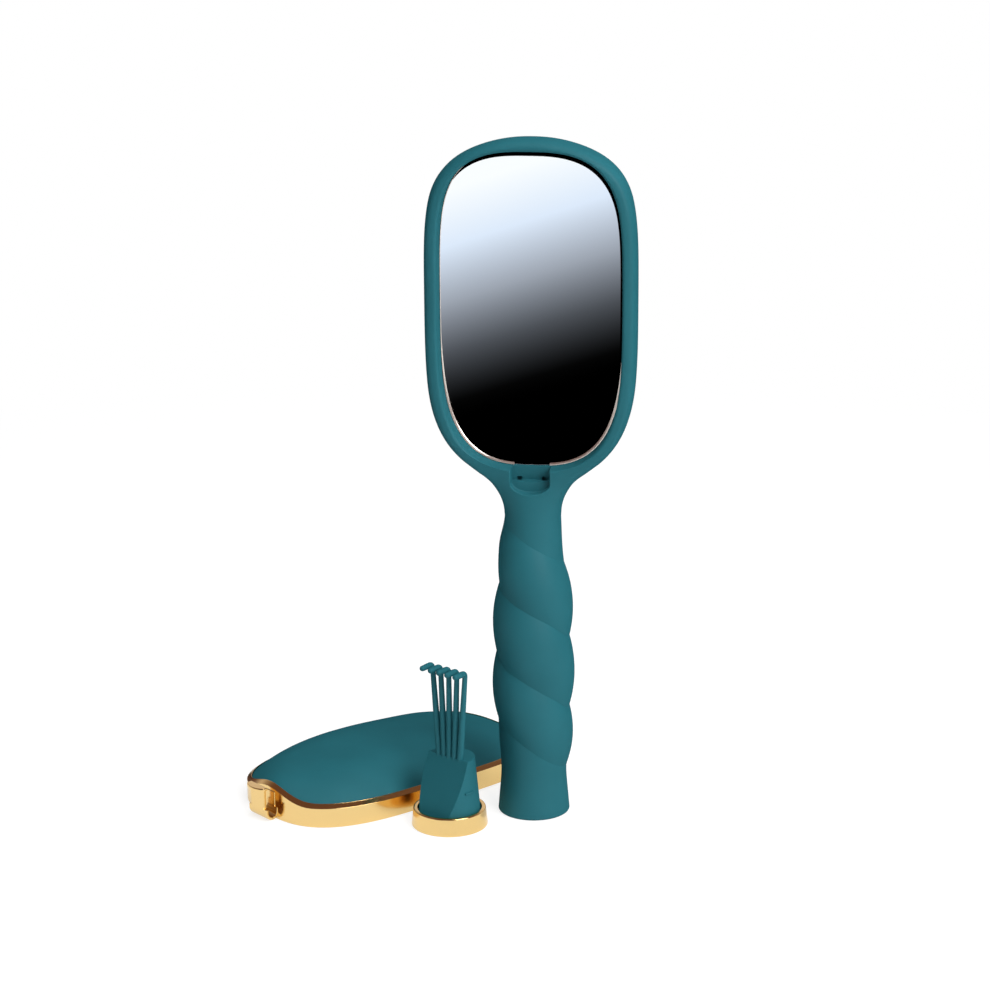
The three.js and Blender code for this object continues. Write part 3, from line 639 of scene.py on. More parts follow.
def crease_height(angle, turn, sizes):
    """Height of the crease of a turn in the direction of an angle."""
    wound = turn + angle / (2 * math.pi)
    return CREASE_TOP - sizes.twist_pitch / MM * wound - CREASE_SWAY * math.sin(angle) + crease_lift(wound)


def lobe_share(phase):
    """Swell of the lobe between two creases."""
    return 4 * phase * (1 - phase)


def grip_surface(angle, z, sizes):
    """Radius of the wound grip at an angle and a height."""
    turn = TURNS[0] + 1
    while crease_height(angle, turn, sizes) < z - HAIR:
        turn -= 1
    top, foot = crease_height(angle, turn, sizes), crease_height(angle, turn + 1, sizes)
    phase = min(max((top - z) / (top - foot), 0), 1)
    wound = turn + angle / (2 * math.pi)
    first = smooth(*LOBE_START, wound)
    final = 1 - smooth(*LOBE_END, wound)
    high = 1 - smooth(*LOBE_TOP, z)
    swell = sizes.lobe_height / MM * first * final * high * lobe_share(phase)
    drop = max(0, GRIP_EDGE - z)
    return grip_profile(z, sizes) + swell - (GRIP_EDGE - math.sqrt(max(GRIP_EDGE**2 - drop**2, 0)))


def head_outline():
    return (bpy.context.scene.styling_brush.sizes.head_width / MM / 2, HEAD_ABOVE, HEAD_BELOW)


def head_half(z):
    """Half width of the head's outline at a height."""
    end = 1 if z >= HEAD_MIDDLE else -1
    low, high = 0.0, math.pi / 2
    for _ in range(HALVINGS):
        angle = (low + high) / 2
        reach = outline_reach(head_outline(), end * angle)
        low, high = (angle, high) if reach * math.sin(angle) < abs(z - HEAD_MIDDLE) else (low, angle)
    return outline_reach(head_outline(), end * low) * math.cos(low)


def in_outline(x, z, inset):
    """Whether places at a height lie within the head's outline, drawn in by their insets."""
    half, above, below = head_outline()
    up = z - HEAD_MIDDLE
    s = abs(up) / np.maximum(np.hypot(x, up), 1e-9)
    rise = np.clip((s - END_POWER_START) / (1 - END_POWER_START), 0, 1) ** END_POWER_RISE
    power = HEAD_POWERS[0] + (HEAD_POWERS[1] - HEAD_POWERS[0]) * rise
    along = (above if up >= 0 else below) - inset
    return (np.abs(x) / (half - inset)) ** power + (abs(up) / along) ** power < 1


def flare_half(z):
    """Half width of the neck as it widens into the head's outline."""
    neck = bpy.context.scene.styling_brush.sizes.neck_radius / MM
    return through([(NECK_HEIGHT, neck), *FLARE, (FLARE_TOP, head_half(FLARE_TOP))], z)


def head_slice(z, angles, half_width):
    """Points [x, y] of the head's section at a height, one in the direction of each column."""
    thick = bpy.context.scene.styling_brush.sizes.head_thickness / MM / 2
    dx, dy = half_width * np.sin(angles), -thick * np.cos(angles)
    low, high = np.zeros_like(angles), np.full_like(angles, 4.0)
    for _ in range(HALVINGS):
        middle = (low + high) / 2
        x, y = middle * dx, HEAD_STAR + middle * dy
        front = np.clip((FRONT_EDGE[1] - (y + thick)) / FRONT_EDGE[1], 0, 1)
        back = np.clip((y - thick + BACK_EDGE[1]) / BACK_EDGE[1], 0, 1)
        inset = FRONT_EDGE[0] * (1 - np.sqrt(1 - front**2)) + BACK_EDGE[0] * (1 - np.sqrt(1 - back**2))
        within = (np.abs(y) <= thick) & in_outline(x, z, inset)
        low, high = np.where(within, middle, low), np.where(within, high, middle)
    return low * dx, HEAD_STAR + low * dy


def neck_slice(z, angles):
    """Points [x, y] of the neck's section at a height, between the round grip and the head."""
    depth = bpy.context.scene.styling_brush.sizes.neck_radius / MM
    half = flare_half(z)
    share = float(smooth(NECK_HEIGHT, FLARE_TOP, z))
    top = head_half(FLARE_TOP)
    hx, hy = head_slice(FLARE_TOP, angles, top)
    x = (1 - share) * half * np.sin(angles) + share * hx * half / top
    y = (1 - share) * -depth * np.cos(angles) + share * hy
    return x, y


def skin_front(x, z):
    """Depth of the neck's or head's front surface at a place."""
    if z < FLARE_TOP:
        xs, ys = neck_slice(z, FRONT_ANGLES)
    else:
        xs, ys = head_slice(z, FRONT_ANGLES, head_half(z))
    return float(np.interp(x, xs, ys))


def wound_shell(sizes):
    """Skin of the grip, neck and head. The lobe winds round the grip, so its columns of points follow the creases,
    which no operator gives; the same columns then run on up the neck and the head."""
    angles = np.array([-math.pi + 2 * math.pi * i / GRIP_COLUMNS for i in range(GRIP_COLUMNS)])
    turns = len(LOBE_PHASES)
    points, columns = [], []
    for angle in angles:
        column = []

        def put(label, z, angle=angle, column=column):
            radius = grip_surface(angle, z, sizes)
            points.append((radius * math.sin(angle), -radius * math.cos(angle), z))
            column.append((label, len(points) - 1))

        # Labels fall up a column: first the rounded foot, then each row of each turn, and last the neck
        for step, t in enumerate(quarter(GRIP_EDGE_STEPS)):
            put((GRIP_EDGE_STEPS + 1 - step) * FOOT_LABEL, GRIP_EDGE * (1 - math.cos(t)))
        for turn in TURNS:
            crease, below = crease_height(angle, turn, sizes), crease_height(angle, turn + 1, sizes)
            for k in range(turns - 1, -1, -1):
                z = crease - LOBE_PHASES[k] * (crease - below)
                if GRIP_EDGE + ROW_MARGIN < z < NECK_HEIGHT - ROW_MARGIN:
                    put(turn * turns + k, z)
        put(-math.inf, NECK_HEIGHT)
        columns.append(column)
    faces = []
    for i, column in enumerate(columns):
        across = columns[(i + 1) % GRIP_COLUMNS]
        shift = turns if i + 1 == GRIP_COLUMNS else 0
        a = b = 0
        while a < len(column) - 1 or b < len(across) - 1:
            up_a = column[a + 1][0] if a < len(column) - 1 else None
            up_b = across[b + 1][0] - shift if b < len(across) - 1 else None
            if up_a is not None and up_a == up_b:
                faces.append((column[a][1], across[b][1], across[b + 1][1], column[a + 1][1]))
                a, b = a + 1, b + 1
            elif up_b is None or (up_a is not None and up_a > up_b):
                faces.append((column[a][1], across[b][1], column[a + 1][1]))
                a += 1
            else:
                faces.append((column[a][1], across[b][1], across[b + 1][1]))
                b += 1
    heights = list(np.linspace(NECK_HEIGHT, FLARE_TOP, NECK_ROWS)[1:])
    start = math.atan2(HEAD_MIDDLE - FLARE_TOP, head_half(FLARE_TOP))
    directions = [-start * (1 - step / LOWER_HEAD_ROWS) for step in range(1, LOWER_HEAD_ROWS + 1)]
    directions += quarter(UPPER_HEAD_ROWS)[1:-1]
    heights += [HEAD_MIDDLE + outline_reach(head_outline(), way) * math.sin(way) for way in directions]
    below = [column[-1][1] for column in columns]
    for z in heights:
        x, y = neck_slice(z, angles) if z < FLARE_TOP else head_slice(z, angles, head_half(z))
        here = list(range(len(points), len(points) + GRIP_COLUMNS))
        points.extend((float(px), float(py), float(z)) for px, py in zip(x, y))
        for i in range(GRIP_COLUMNS):
            after = (i + 1) % GRIP_COLUMNS
            faces.append((below[i], below[after], here[after], here[i]))
        below = here
    foot, top = len(points), len(points) + 1
    points += [(0, 0, 0), (0, HEAD_STAR, OVERALL_HEIGHT)]
    for i in range(GRIP_COLUMNS):
        after = (i + 1) % GRIP_COLUMNS
        faces.append((foot, columns[after][0][1], columns[i][0][1]))
        faces.append((top, below[i], below[after]))
    return linked("soft_touch_shell", [Vector(p) * MM for p in points], faces)


def mirror_cutter(sizes):
    """Tool that sinks the mirror's recess and rounds its lip."""
    front = -sizes.head_thickness / MM / 2
    lip = sizes.lip_round / MM
    levels = [(front - OVERRUN, -lip)]
    levels += [(front + lip * (1 - math.cos(t)), -lip * (1 - math.sin(t))) for t in quarter(8)]
    levels.append((RECESS_FLOOR, 0))
    return drawn("mirror_cutter", [standing(OPENING, y, inset, powers=OPENING_POWERS) for y, inset in levels])


def cushion_cutter(sizes):
    """Tool that sinks the cushion's recess."""
    back = sizes.head_thickness / MM / 2
    levels = [(CUSHION_FLOOR, 0)]
    levels += [(back - MOUTH_ROUND * (1 - math.sin(t)), -MOUTH_ROUND * (1 - math.cos(t))) for t in quarter(5)]
    levels.append((back + OVERRUN, -MOUTH_ROUND))
    return drawn("cushion_cutter", [standing(CUSHION, y, inset) for y, inset in levels])


def thumb_outline(grown):
    """D-shaped outline of the catch's mouth: straight sides and an elliptic foot."""
    half, reach = CATCH_HALF + grown, THUMB_REACH + grown
    outline = [(half, THUMB_TOP), (half, RIM_FOOT), (half, (RIM_FOOT + CATCH_FLOOR) / 2)]
    for k in range(THUMB_STEPS + 1):
        t = math.pi * k / THUMB_STEPS
        outline.append((half * math.cos(t), CATCH_FLOOR - reach * math.sin(t)))
    outline += [(-x, z) for x, z in outline[2::-1]]
    return outline


def catch_cutters():
    """Tools for the catch: the D-shaped thumb hollow with its rounded mouth, the slot behind it and the keyholes."""
    levels = [(THUMB_OVERRUN, CATCH_ROUND)]
    levels += [(CATCH_ROUND * (1 - math.cos(t)), CATCH_ROUND * (1 - math.sin(t))) for t in quarter(5)]
    rings = [[(x, skin_front(x, z) + depth, z) for x, z in thumb_outline(grown)] for depth, grown in levels]
    rings += [
        [(x, THUMB_FLOOR - THUMB_CHAMFER, z) for x, z in thumb_outline(0)],
        [(x, THUMB_FLOOR, z) for x, z in thumb_outline(-THUMB_CHAMFER)],
    ]
    mouth = drawn("thumb_cutter", rings)
    slot = boxed("slot_cutter", (-CATCH_HALF, CATCH_FRONT, CATCH_FLOOR), (CATCH_HALF, CATCH_BACK, CATCH_TOP))
    holes = []
    for ends in ((-KEYHOLE["outer"], -KEYHOLE["inner"]), (KEYHOLE["inner"], KEYHOLE["outer"])):
        low = (ends[0], CATCH_BACK - KEYHOLE["before"], CATCH_FLOOR - KEYHOLE["sink"])
        high = (ends[1], CATCH_BACK + KEYHOLE["depth"], CATCH_FLOOR + KEYHOLE["height"])
        holes.append(boxed("keyhole_cutter", low, high))
    return [mouth, slot, *holes]


def bore_cutter():
    """Tool that bores the handle for the rake."""
    levels = [(z, BORE_RADIUS + wider) for z, wider in BORE_MOUTH]
    end = BORE_RADIUS * BORE_END_SHARE
    levels += [(BORE_DEPTH - BORE_RADIUS + end, BORE_RADIUS), (BORE_DEPTH, end)]
    return drawn("bore_cutter", [circle(r, z) for z, r in levels])


class BRUSH_OT_shell(bpy.types.Operator):
    """Models the soft-touch shell: the twisted grip, the neck and the hollowed head"""

    bl_idname = "styling_brush.shell"
    bl_label = "Shell"

    def execute(self, context):
        sizes = context.scene.styling_brush.sizes
        piece = wound_shell(sizes)
        for tool in [mirror_cutter(sizes), cushion_cutter(sizes), *catch_cutters(), bore_cutter()]:
            cut(piece, tool)
        finished(piece, BRUSH_PLACE, "brush", SHELL_FINISH, ["handle_shell"], angle=35)
        # Left out of reflections, since the gold and the mirror lie so close that they would show too much of it
        piece.visible_glossy = False
        return {"FINISHED"}


# ---- mirror side

# Depths of the plate's two faces, its bevel, and its gap to the shell
PLATE_FRONT, PLATE_BACK = -1.4, 0.6
PLATE_EDGE = 0.06
PLATE_GAP = 0.2
# Section of the trim: depth, and share of its width
TRIM_FOOT, TRIM_CREST = -1.5, -2.15
TRIM_SECTION = [
    (TRIM_FOOT, 0), (TRIM_CREST + 0.1, 0), (TRIM_CREST, 0.15), (TRIM_CREST + 0.02, 0.35),
    (TRIM_CREST + 0.1, 0.7), (TRIM_FOOT - 0.1, 0.95), (TRIM_FOOT, 1),
]
# The trim is a thin line that widens round the lower end, and stops at the catch
TRIM_WIDTH, TRIM_WIDENING, TRIM_WIDENS = 0.14, 0.6, (0.4, 0.9)
TRIM_GAP_LOW, TRIM_GAP_HIGH = (-6.3, -4, RIM_FOOT - 2), (6.3, 0, RIM_FOOT + 2.4)


class BRUSH_OT_mirror(bpy.types.Operator):
    """Models the mirror plate and its gold trim, and finishes the foam pad behind them"""

    bl_idname = "styling_brush.mirror"
    bl_label = "Mirror"

    def execute(self, context):
        levels = [
            (PLATE_FRONT, PLATE_GAP + PLATE_EDGE), (PLATE_FRONT + PLATE_EDGE * 0.3, PLATE_GAP + PLATE_EDGE * 0.3),
            (PLATE_FRONT + PLATE_EDGE, PLATE_GAP), (PLATE_BACK, PLATE_GAP),
        ]
        plate = drawn("mirror_plate", [standing(OPENING, y, inset, powers=OPENING_POWERS) for y, inset in levels])
        finished(plate, BRUSH_PLACE, "brush", MIRROR_FINISH, ["mirror_glass"])
        self.trim()
        kept("mirror_pad", "closed_cell_foam")
        return {"FINISHED"}

    def trim(self):
        rings = []
        for y, share in TRIM_SECTION:
            ring = []
            for i in range(OUTLINE_POINTS * 2):
                angle = math.pi * i / OUTLINE_POINTS
                wide = TRIM_WIDTH + TRIM_WIDENING * float(smooth(*TRIM_WIDENS, -math.sin(angle)))
                reach = outline_reach(OPENING, angle, PLATE_GAP + wide * share, OPENING_POWERS)
                ring.append((reach * math.cos(angle), y, HEAD_MIDDLE + reach * math.sin(angle)))
            rings.append(ring)
        trim = drawn("mirror_trim_ring", rings, closed=True)
        cut(trim, boxed("trim_gap", TRIM_GAP_LOW, TRIM_GAP_HIGH))
        finished(trim, BRUSH_PLACE, "brush", TRIM_FINISH, ["mirror_trim"])
        trim.visible_glossy = False


# ---- bristle side

# Half width, reach above and reach below of the field of bristles
FIELD = (25.5, 42.2, 57.7)
CROWN_FOOT = 10
CROWN = 5
CROWN_POWER = 2.6
CROWN_SHARES = [1, 0.97, 0.93, 0.88, 0.82, 0.75, 0.67, 0.58, 0.48, 0.37, 0.25, 0.12]
FLANGE_TOP = 4.4
SEAT_GAP = 0.2
WALL_INSET = 2.0
# Depth and inset of the cushion's flange, and of its wall up to the crown
CUSHION_SECTION = [
    (CUSHION_FLOOR + 0.1, SEAT_GAP), (FLANGE_TOP, SEAT_GAP), (FLANGE_TOP, WALL_INSET), (8.6, WALL_INSET),
    (9.3, WALL_INSET + 0.12), (9.7, WALL_INSET + 0.5), (9.85, WALL_INSET + 1.1),
]
RING_FOOT, RING_TOP, RING_INNER = 4.5, 9.8, 1.8
RING_SECTION = [
    (RING_FOOT, SEAT_GAP), (RING_TOP - 0.35, 0.4), (RING_TOP - 0.1, 0.5), (RING_TOP, 0.75),
    (RING_TOP, RING_INNER - 0.3), (RING_TOP - 0.09, RING_INNER - 0.09), (RING_TOP - 0.3, RING_INNER),
    (RING_FOOT, RING_INNER),
]
# Tufts: their spacing along and across, and how far the outermost lean out
TUFT_SPACING, TUFT_ROWS, TUFT_STAGGER, TUFT_LEAN = 3.5, 3.4, 0.25, 0.1
TUFT_MARGIN = 0.72
TUFT_RADIUS = 0.62
TUFT_AT_ROOT, TUFT_AT_TIP = 0.55, 1.9
GOLDEN_TURN = 2.39996
ROOT_DEPTH = 0.4
SHORTEST = 0.86
# Place along a bristle, and its radius there
BRISTLE_LEVELS = [(0, 0.12), (0.55, 0.105), (1, 0.05)]
BRISTLE_SIDES = 3
BRISTLE_BOW = -0.12
TIP_SCATTER = 0.22
SHADE_SCATTER = 0.4


def crown_depth(share):
    return CROWN_FOOT + CROWN * (1 - share**CROWN_POWER)


def about(angle):
    """Direction at an angle round a bristle."""
    return Vector((math.cos(angle), math.sin(angle), 0))


class BRUSH_OT_cushion(bpy.types.Operator):
    """Models the rubber cushion and the ring that holds it"""

    bl_idname = "styling_brush.cushion"
    bl_label = "Cushion"

    def execute(self, context):
        rings = [standing(CUSHION, y, inset) for y, inset in CUSHION_SECTION]
        rings += [standing(FIELD, crown_depth(share), 0, share) for share in CROWN_SHARES]
        cushion = drawn("bristle_cushion_rubber", rings, ends=("cap", "pole"))
        finished(cushion, BRUSH_PLACE, "brush", CUSHION_FINISH, ["bristle_cushion"])
        ring = drawn("cushion_seat_ring", [standing(CUSHION, y, inset) for y, inset in RING_SECTION], closed=True)
        finished(ring, BRUSH_PLACE, "brush", SHELL_FINISH, ["cushion_ring"])
        return {"FINISHED"}


class BRUSH_OT_bristles(bpy.types.Operator):
    """Models the boar bristles, tuft by tuft"""

    bl_idname = "styling_brush.bristles"
    bl_label = "Bristles"

    def execute(self, context):
        sizes = context.scene.styling_brush.sizes
        chance = random.Random(7)
        tuft = self.tuft(sizes, chance)
        points, faces, along, shade = [], [], [], []
        for root, turn in self.holes(chance):
            for foot, tip, own, around in tuft:
                bend = tip + Vector((chance.gauss(0, TIP_SCATTER), chance.gauss(0, TIP_SCATTER), 0))
                middle = foot.lerp(bend, BRISTLE_LEVELS[1][0]) + about(around) * BRISTLE_BOW
                first = len(points)
                for (at, radius), centre in zip(BRISTLE_LEVELS, (foot, middle, bend)):
                    for k in range(BRISTLE_SIDES):
                        side = about(around + k * math.tau / BRISTLE_SIDES)
                        points.append((root + turn @ (centre + side * radius)) * MM)
                        along.append(at)
                        shade.append((own + chance.random() * SHADE_SCATTER) % 1 if at == 0 and k == 0 else shade[-1])
                for a in (first, first + BRISTLE_SIDES):
                    for k in range(BRISTLE_SIDES):
                        n = (k + 1) % BRISTLE_SIDES
                        faces.append((a + k, a + n, a + n + BRISTLE_SIDES, a + k + BRISTLE_SIDES))
                faces.append(tuple(first + 2 * BRISTLE_SIDES + k for k in range(BRISTLE_SIDES)))
                faces.append(tuple(first + k for k in reversed(range(BRISTLE_SIDES))))
        piece = linked("boar_bristles", points, faces)
        for name, values in (("along", along), ("strand", shade)):
            piece.data.attributes.new(name, "FLOAT", "POINT").data.foreach_set("value", values)
        nodes = [f"bristle_field_{i}" for i in (1, 2, 3, 4)]
        finished(piece, BRUSH_PLACE, "brush", BRISTLE_FINISH, nodes, angle=80, weighted=False)
        return {"FINISHED"}

    def tuft(self, sizes, chance):
        """One tuft of bristles from one hole: foot, tip, own shade and direction of each."""
        parts = []
        length = sizes.bristle_length / MM
        for i in range(sizes.bristles_in_tuft):
            spread = TUFT_RADIUS * math.sqrt(i / sizes.bristles_in_tuft)
            turn = i * GOLDEN_TURN
            foot = about(turn) * (TUFT_AT_ROOT * spread) - Vector((0, 0, ROOT_DEPTH))
            reach = length * chance.uniform(SHORTEST, 1.0)
            tip = about(turn) * (TUFT_AT_TIP * spread) + Vector((0, 0, reach))
            parts.append((foot, tip, chance.random(), turn))
        return parts

    def holes(self, chance):
        """Place and turn of each hole, in staggered rows over the crown."""
        half, _, below = FIELD
        inside = 1 - (TUFT_MARGIN + TUFT_SPACING / 4) / half
        rows, columns = math.ceil(below / TUFT_ROWS), math.ceil(half / TUFT_SPACING)
        for row in range(-rows, rows):
            up = (row + 0.5) * TUFT_ROWS
            stagger = TUFT_STAGGER if row % 2 == 0 else -TUFT_STAGGER
            for column in range(-columns, columns + 1):
                across = (column + stagger) * TUFT_SPACING
                share = math.hypot(across, up) / outline_reach(FIELD, math.atan2(up, across))
                if share < inside:
                    lean = Vector((TUFT_LEAN * across / CUSHION[0], 1, TUFT_LEAN * up / CUSHION[2])).normalized()
                    turn = Quaternion(lean, chance.uniform(0, math.tau)) @ lean.to_track_quat("Z", "Y")
                    yield Vector((across, crown_depth(share), HEAD_MIDDLE + up)), turn


# ---- cover

# Half width and reaches of the cover's outline, which lies with its lower end towards the latch
COVER = (31.83, 49.6, 62.6)
BAND_HEIGHT = 7.4
BAND_WALL = 2.2
BAND_EDGE = 0.35
COVER_REST = 8.6
SHOULDER = 1.35
SHOULDER_EDGE = [(0, 0.2), (0.1, 0.05), (0.25, 0)]
LIP_WIDTH = 0.25
DOME_GAP = 0.2
DOME_WALL = 1.6
DOME_SINK = 0.35
CEILING_DROP = 1.8
CEILING_SHARES = [0.2, 0.5, 0.75, 0.9, 1]
DOME_POWERS = (4, 1.8)
DOME_SHARES = [0.994, 0.985, 0.97, 0.95, 0.925, 0.895, 0.86, 0.82, 0.77, 0.71, 0.64, 0.56, 0.47, 0.37, 0.26, 0.13]
# Rise of the cover's edge towards the latch, the half width that it falls off over, and where it starts and ends
END_RISE = 4.3
END_RISE_HALF = 20
END_RISE_FROM = (-62, -44)
LATCH_TOP = 13.2
LATCH_ROOT_TOP = 10.4
LATCH_FOOT_TOP = 4.7
BEND_CENTRE = -64.65
BEND_RADIUS = 3
BEND_STEPS = 12
STRAP = 1.2
STRAP_LIFT = 0.3
STRAP_ROUND = 0.28
STRAP_GAP = 0.09
# Width of the strap's foot, of its ears' tops and of its leg, and the leg's tapered end
FOOT_WIDTH, EAR_WIDTH, LEG_WIDTH = 10.4, 10.1, 7.8
LEG_END = {"height": 0.25, "width": 0.93, "thick": 0.6}
THUMB_LIP = {"half": 4.9, "reach": 2.65, "thick": 1.1, "back": 0.4, "below": 0.4, "steps": 24}


def risen(ring):
    """Ring of the cover with its edge lifted towards the latch, where the band is taller."""
    lifted = []
    for across, along, z in ring:
        rise = END_RISE * (1 - smooth(0, END_RISE_HALF, abs(across))) * (1 - smooth(*END_RISE_FROM, along))
        lifted.append((across, along, z + float(rise) * min(max(z / BAND_HEIGHT, 0), 1)))
    return lifted


class BRUSH_OT_cover(bpy.types.Operator):
    """Models the cover: its gold band with the sloped shoulder, and its soft-touch dome"""

    bl_idname = "styling_brush.cover"
    bl_label = "Cover"

    def execute(self, context):
        sizes = context.scene.styling_brush.sizes
        edge = BAND_EDGE
        section = [(BAND_WALL, 0), (edge, 0)]
        section += [(edge * (1 - math.sin(t)), edge * (1 - math.cos(t))) for t in quarter(4)[1:]]
        section += [
            (edge * 0.5 * (1 - math.cos(t)), BAND_HEIGHT - edge * 0.5 * (1 - math.sin(t))) for t in quarter(4)
        ]
        section += [(SHOULDER + inset, COVER_REST - drop) for inset, drop in SHOULDER_EDGE]
        section += [(SHOULDER + LIP_WIDTH, COVER_REST), (SHOULDER + LIP_WIDTH, BAND_HEIGHT)]
        section += [(BAND_WALL, BAND_HEIGHT - 1)]
        band = drawn("gold_band", [risen(lying(COVER, z, inset)) for inset, z in section], closed=True)
        joined(band, strap("latch_root", 1, LATCH_ROOT_TOP))
        finished(band, COVER_PLACE, "cover", GOLD_FINISH, ["cover_band"])

        inset = SHOULDER + LIP_WIDTH + DOME_GAP
        wall = BAND_WALL + DOME_GAP
        rise = sizes.dome_height / MM
        rings = [self.domed(rise, wall + DOME_WALL, share, -CEILING_DROP) for share in CEILING_SHARES]
        rings += [lying(COVER, 1, wall + DOME_WALL), lying(COVER, 1, wall), lying(COVER, BAND_HEIGHT - 1, wall)]
        rings += [lying(COVER, BAND_HEIGHT, inset), lying(COVER, COVER_REST - DOME_SINK, inset)]
        rings += [self.domed(rise, inset, share) for share in DOME_SHARES]
        dome = drawn("soft_touch_dome", [risen(ring) for ring in rings], ends="pole")
        finished(dome, COVER_PLACE, "cover", SHELL_FINISH, ["cover_dome"])
        return {"FINISHED"}

    def domed(self, rise, inset, share, lift=0.0):
        """Ring of the dome, which is full at the latch's end and falls off sooner towards the other."""
        ring = []
        for across, along, _ in lying(COVER, 0, inset, share):
            lead = along / math.hypot(across, along)
            power = DOME_POWERS[0] + (DOME_POWERS[1] - DOME_POWERS[0]) * (1 + lead) / 2
            ring.append((across, along, COVER_REST - DOME_SINK + lift + rise * (1 - share**power)))
        return ring


def strap_section(centre, normal, width):
    """Rounded rectangle across the strap at a place of its middle line, which runs in the plane x = 0."""
    corner, half, thick = STRAP_ROUND, width / 2, STRAP / 2
    ring = []
    for side, out in ((1, 1), (-1, 1), (-1, -1), (1, -1)):
        turns = (0, 45, 90) if side * out > 0 else (90, 45, 0)
        for degrees in turns:
            t = math.radians(degrees)
            x = side * (half - corner + corner * math.cos(t))
            n = out * (thick - corner + corner * math.sin(t))
            ring.append((x, centre[0] + n * normal[0], centre[1] + n * normal[1]))
    return ring


def strap(name, side, top):
    """Half of the J-shaped strap: from the foot of its bend round and up one leg, with the wide foot and its ears."""
    radius = BEND_RADIUS - STRAP / 2
    level = STRAP_LIFT + BEND_RADIUS
    rings = []
    for k in range(BEND_STEPS + 1):
        t = -math.pi / 2 + (math.pi / 2) * k / BEND_STEPS
        y, z = math.cos(t), math.sin(t)
        centre = (BEND_CENTRE + side * max(radius * y, STRAP_GAP), level + radius * z)
        rings.append(strap_section(centre, (side * y, z), FOOT_WIDTH))
    leg = BEND_CENTRE + side * radius
    for z, width in (
        (LATCH_FOOT_TOP - 0.15, FOOT_WIDTH), (LATCH_FOOT_TOP, EAR_WIDTH),
        (LATCH_FOOT_TOP + 0.02, LEG_WIDTH), (top - LEG_END["height"], LEG_WIDTH),
    ):
        rings.append(strap_section((leg, z), (side, 0), width))
    rings.append([(x * LEG_END["width"], leg + (y - leg) * LEG_END["thick"], top) for x, y, _ in rings[-1]])
    return drawn(name, rings)


class BRUSH_OT_latch(bpy.types.Operator):
    """Models the springing leg of the latch with its thumb lip"""

    bl_idname = "styling_brush.latch"
    bl_label = "Latch"

    def execute(self, context):
        leg = strap("latch_tongue_strap", -1, LATCH_TOP - THUMB_LIP["below"])
        joined(leg, self.lip())
        finished(leg, COVER_PLACE, "latch", GOLD_FINISH, ["latch_tongue"])
        return {"FINISHED"}

    def lip(self):
        """The thumb lip: half an ellipse that juts from the leg, with rounded edges."""
        face, foot = BEND_CENTRE - BEND_RADIUS, LATCH_TOP - THUMB_LIP["thick"]
        back = face + THUMB_LIP["back"]
        rings = []
        for z, inset in (
            (foot, 0.3), (foot + 0.08, 0.08), (foot + 0.3, 0),
            (LATCH_TOP - 0.35, 0), (LATCH_TOP - 0.1, 0.1), (LATCH_TOP, 0.35),
        ):
            half, reach, seat = THUMB_LIP["half"] - inset, THUMB_LIP["reach"] - inset, face + STRAP - inset
            ring = [(half, seat, z), (half, back, z)]
            for k in range(THUMB_LIP["steps"] + 1):
                t = math.pi * k / THUMB_LIP["steps"]
                ring.append((half * math.cos(t), face - reach * math.sin(t), z))
            rings.append(ring + [(-half, back, z), (-half, seat, z)])
        return drawn("thumb_lip", rings)


# ---- cleaning rake

CAP = {"foot": 13.86, "top": 13.1, "height": 6.7, "rim": 1.65, "floor": 1.8, "draft": 0.45, "round": 0.55}
# A piece that is turned about the Z axis starts and ends this near it
AXIS = 0.01
RAKE_FOOT = 11.55
RAKE_TOP_RADIUS = 9.3
RAKE_BASE, RAKE_TOP = 2.0, 25.8
# The flat cut: how far from the middle it starts at the top, and its run over its rise
WEDGE_OFFSET = 0.5
WEDGE_SLOPE = 8.1 / 19
RAKE_ROUND = 0.5
RIB = {"half": 2, "low": 14.1, "high": 14.9, "out": 0.4, "in": 3, "turn": 84, "round": 0.2}
TINES = {
    "count": 5, "root": 2.4, "tip": 3.85, "sink": 1.5, "top": 59.1, "line": 0.4, "hook": 5.6, "knee": 1.6,
    "droop": 0.2, "taper": 0.66, "sides": 14,
}
# Share of a tine's way at which its knee starts and ends, how it swells into the hook, and how the hook is flattened
KNEE_SHARES = (0.8, 0.9)
HOOK_SWELL, HOOK_SWELLS = 0.32, (0.82, 0.93)
HOOK_FLATTENING, HOOK_FLATTENS = 0.1, (0.86, 1)
STEM_STEPS, KNEE_STEPS, HOOK_STEPS = 6, 8, 5
# Rounded end of a hook: how far on, and its share of the width
HOOK_END = [(0.35, 0.85), (0.6, 0.6), (0.75, 0.3)]


def rounded(points, radius, steps=4):
    """Section profile [radius, height] with its inner corners rounded."""
    out = [points[0]]
    for before, corner, after in zip(points, points[1:], points[2:]):
        a, b, c = Vector(before), Vector(corner), Vector(after)
        cut = min(radius, (a - b).length * 0.45, (c - b).length * 0.45)
        start, end = b + (a - b).normalized() * cut, b + (c - b).normalized() * cut
        for k in range(steps + 1):
            t = k / steps
            p = start * (1 - t) ** 2 + b * (2 * t * (1 - t)) + end * t**2
            out.append((p.x, p.y))
    out.append(points[-1])
    return out


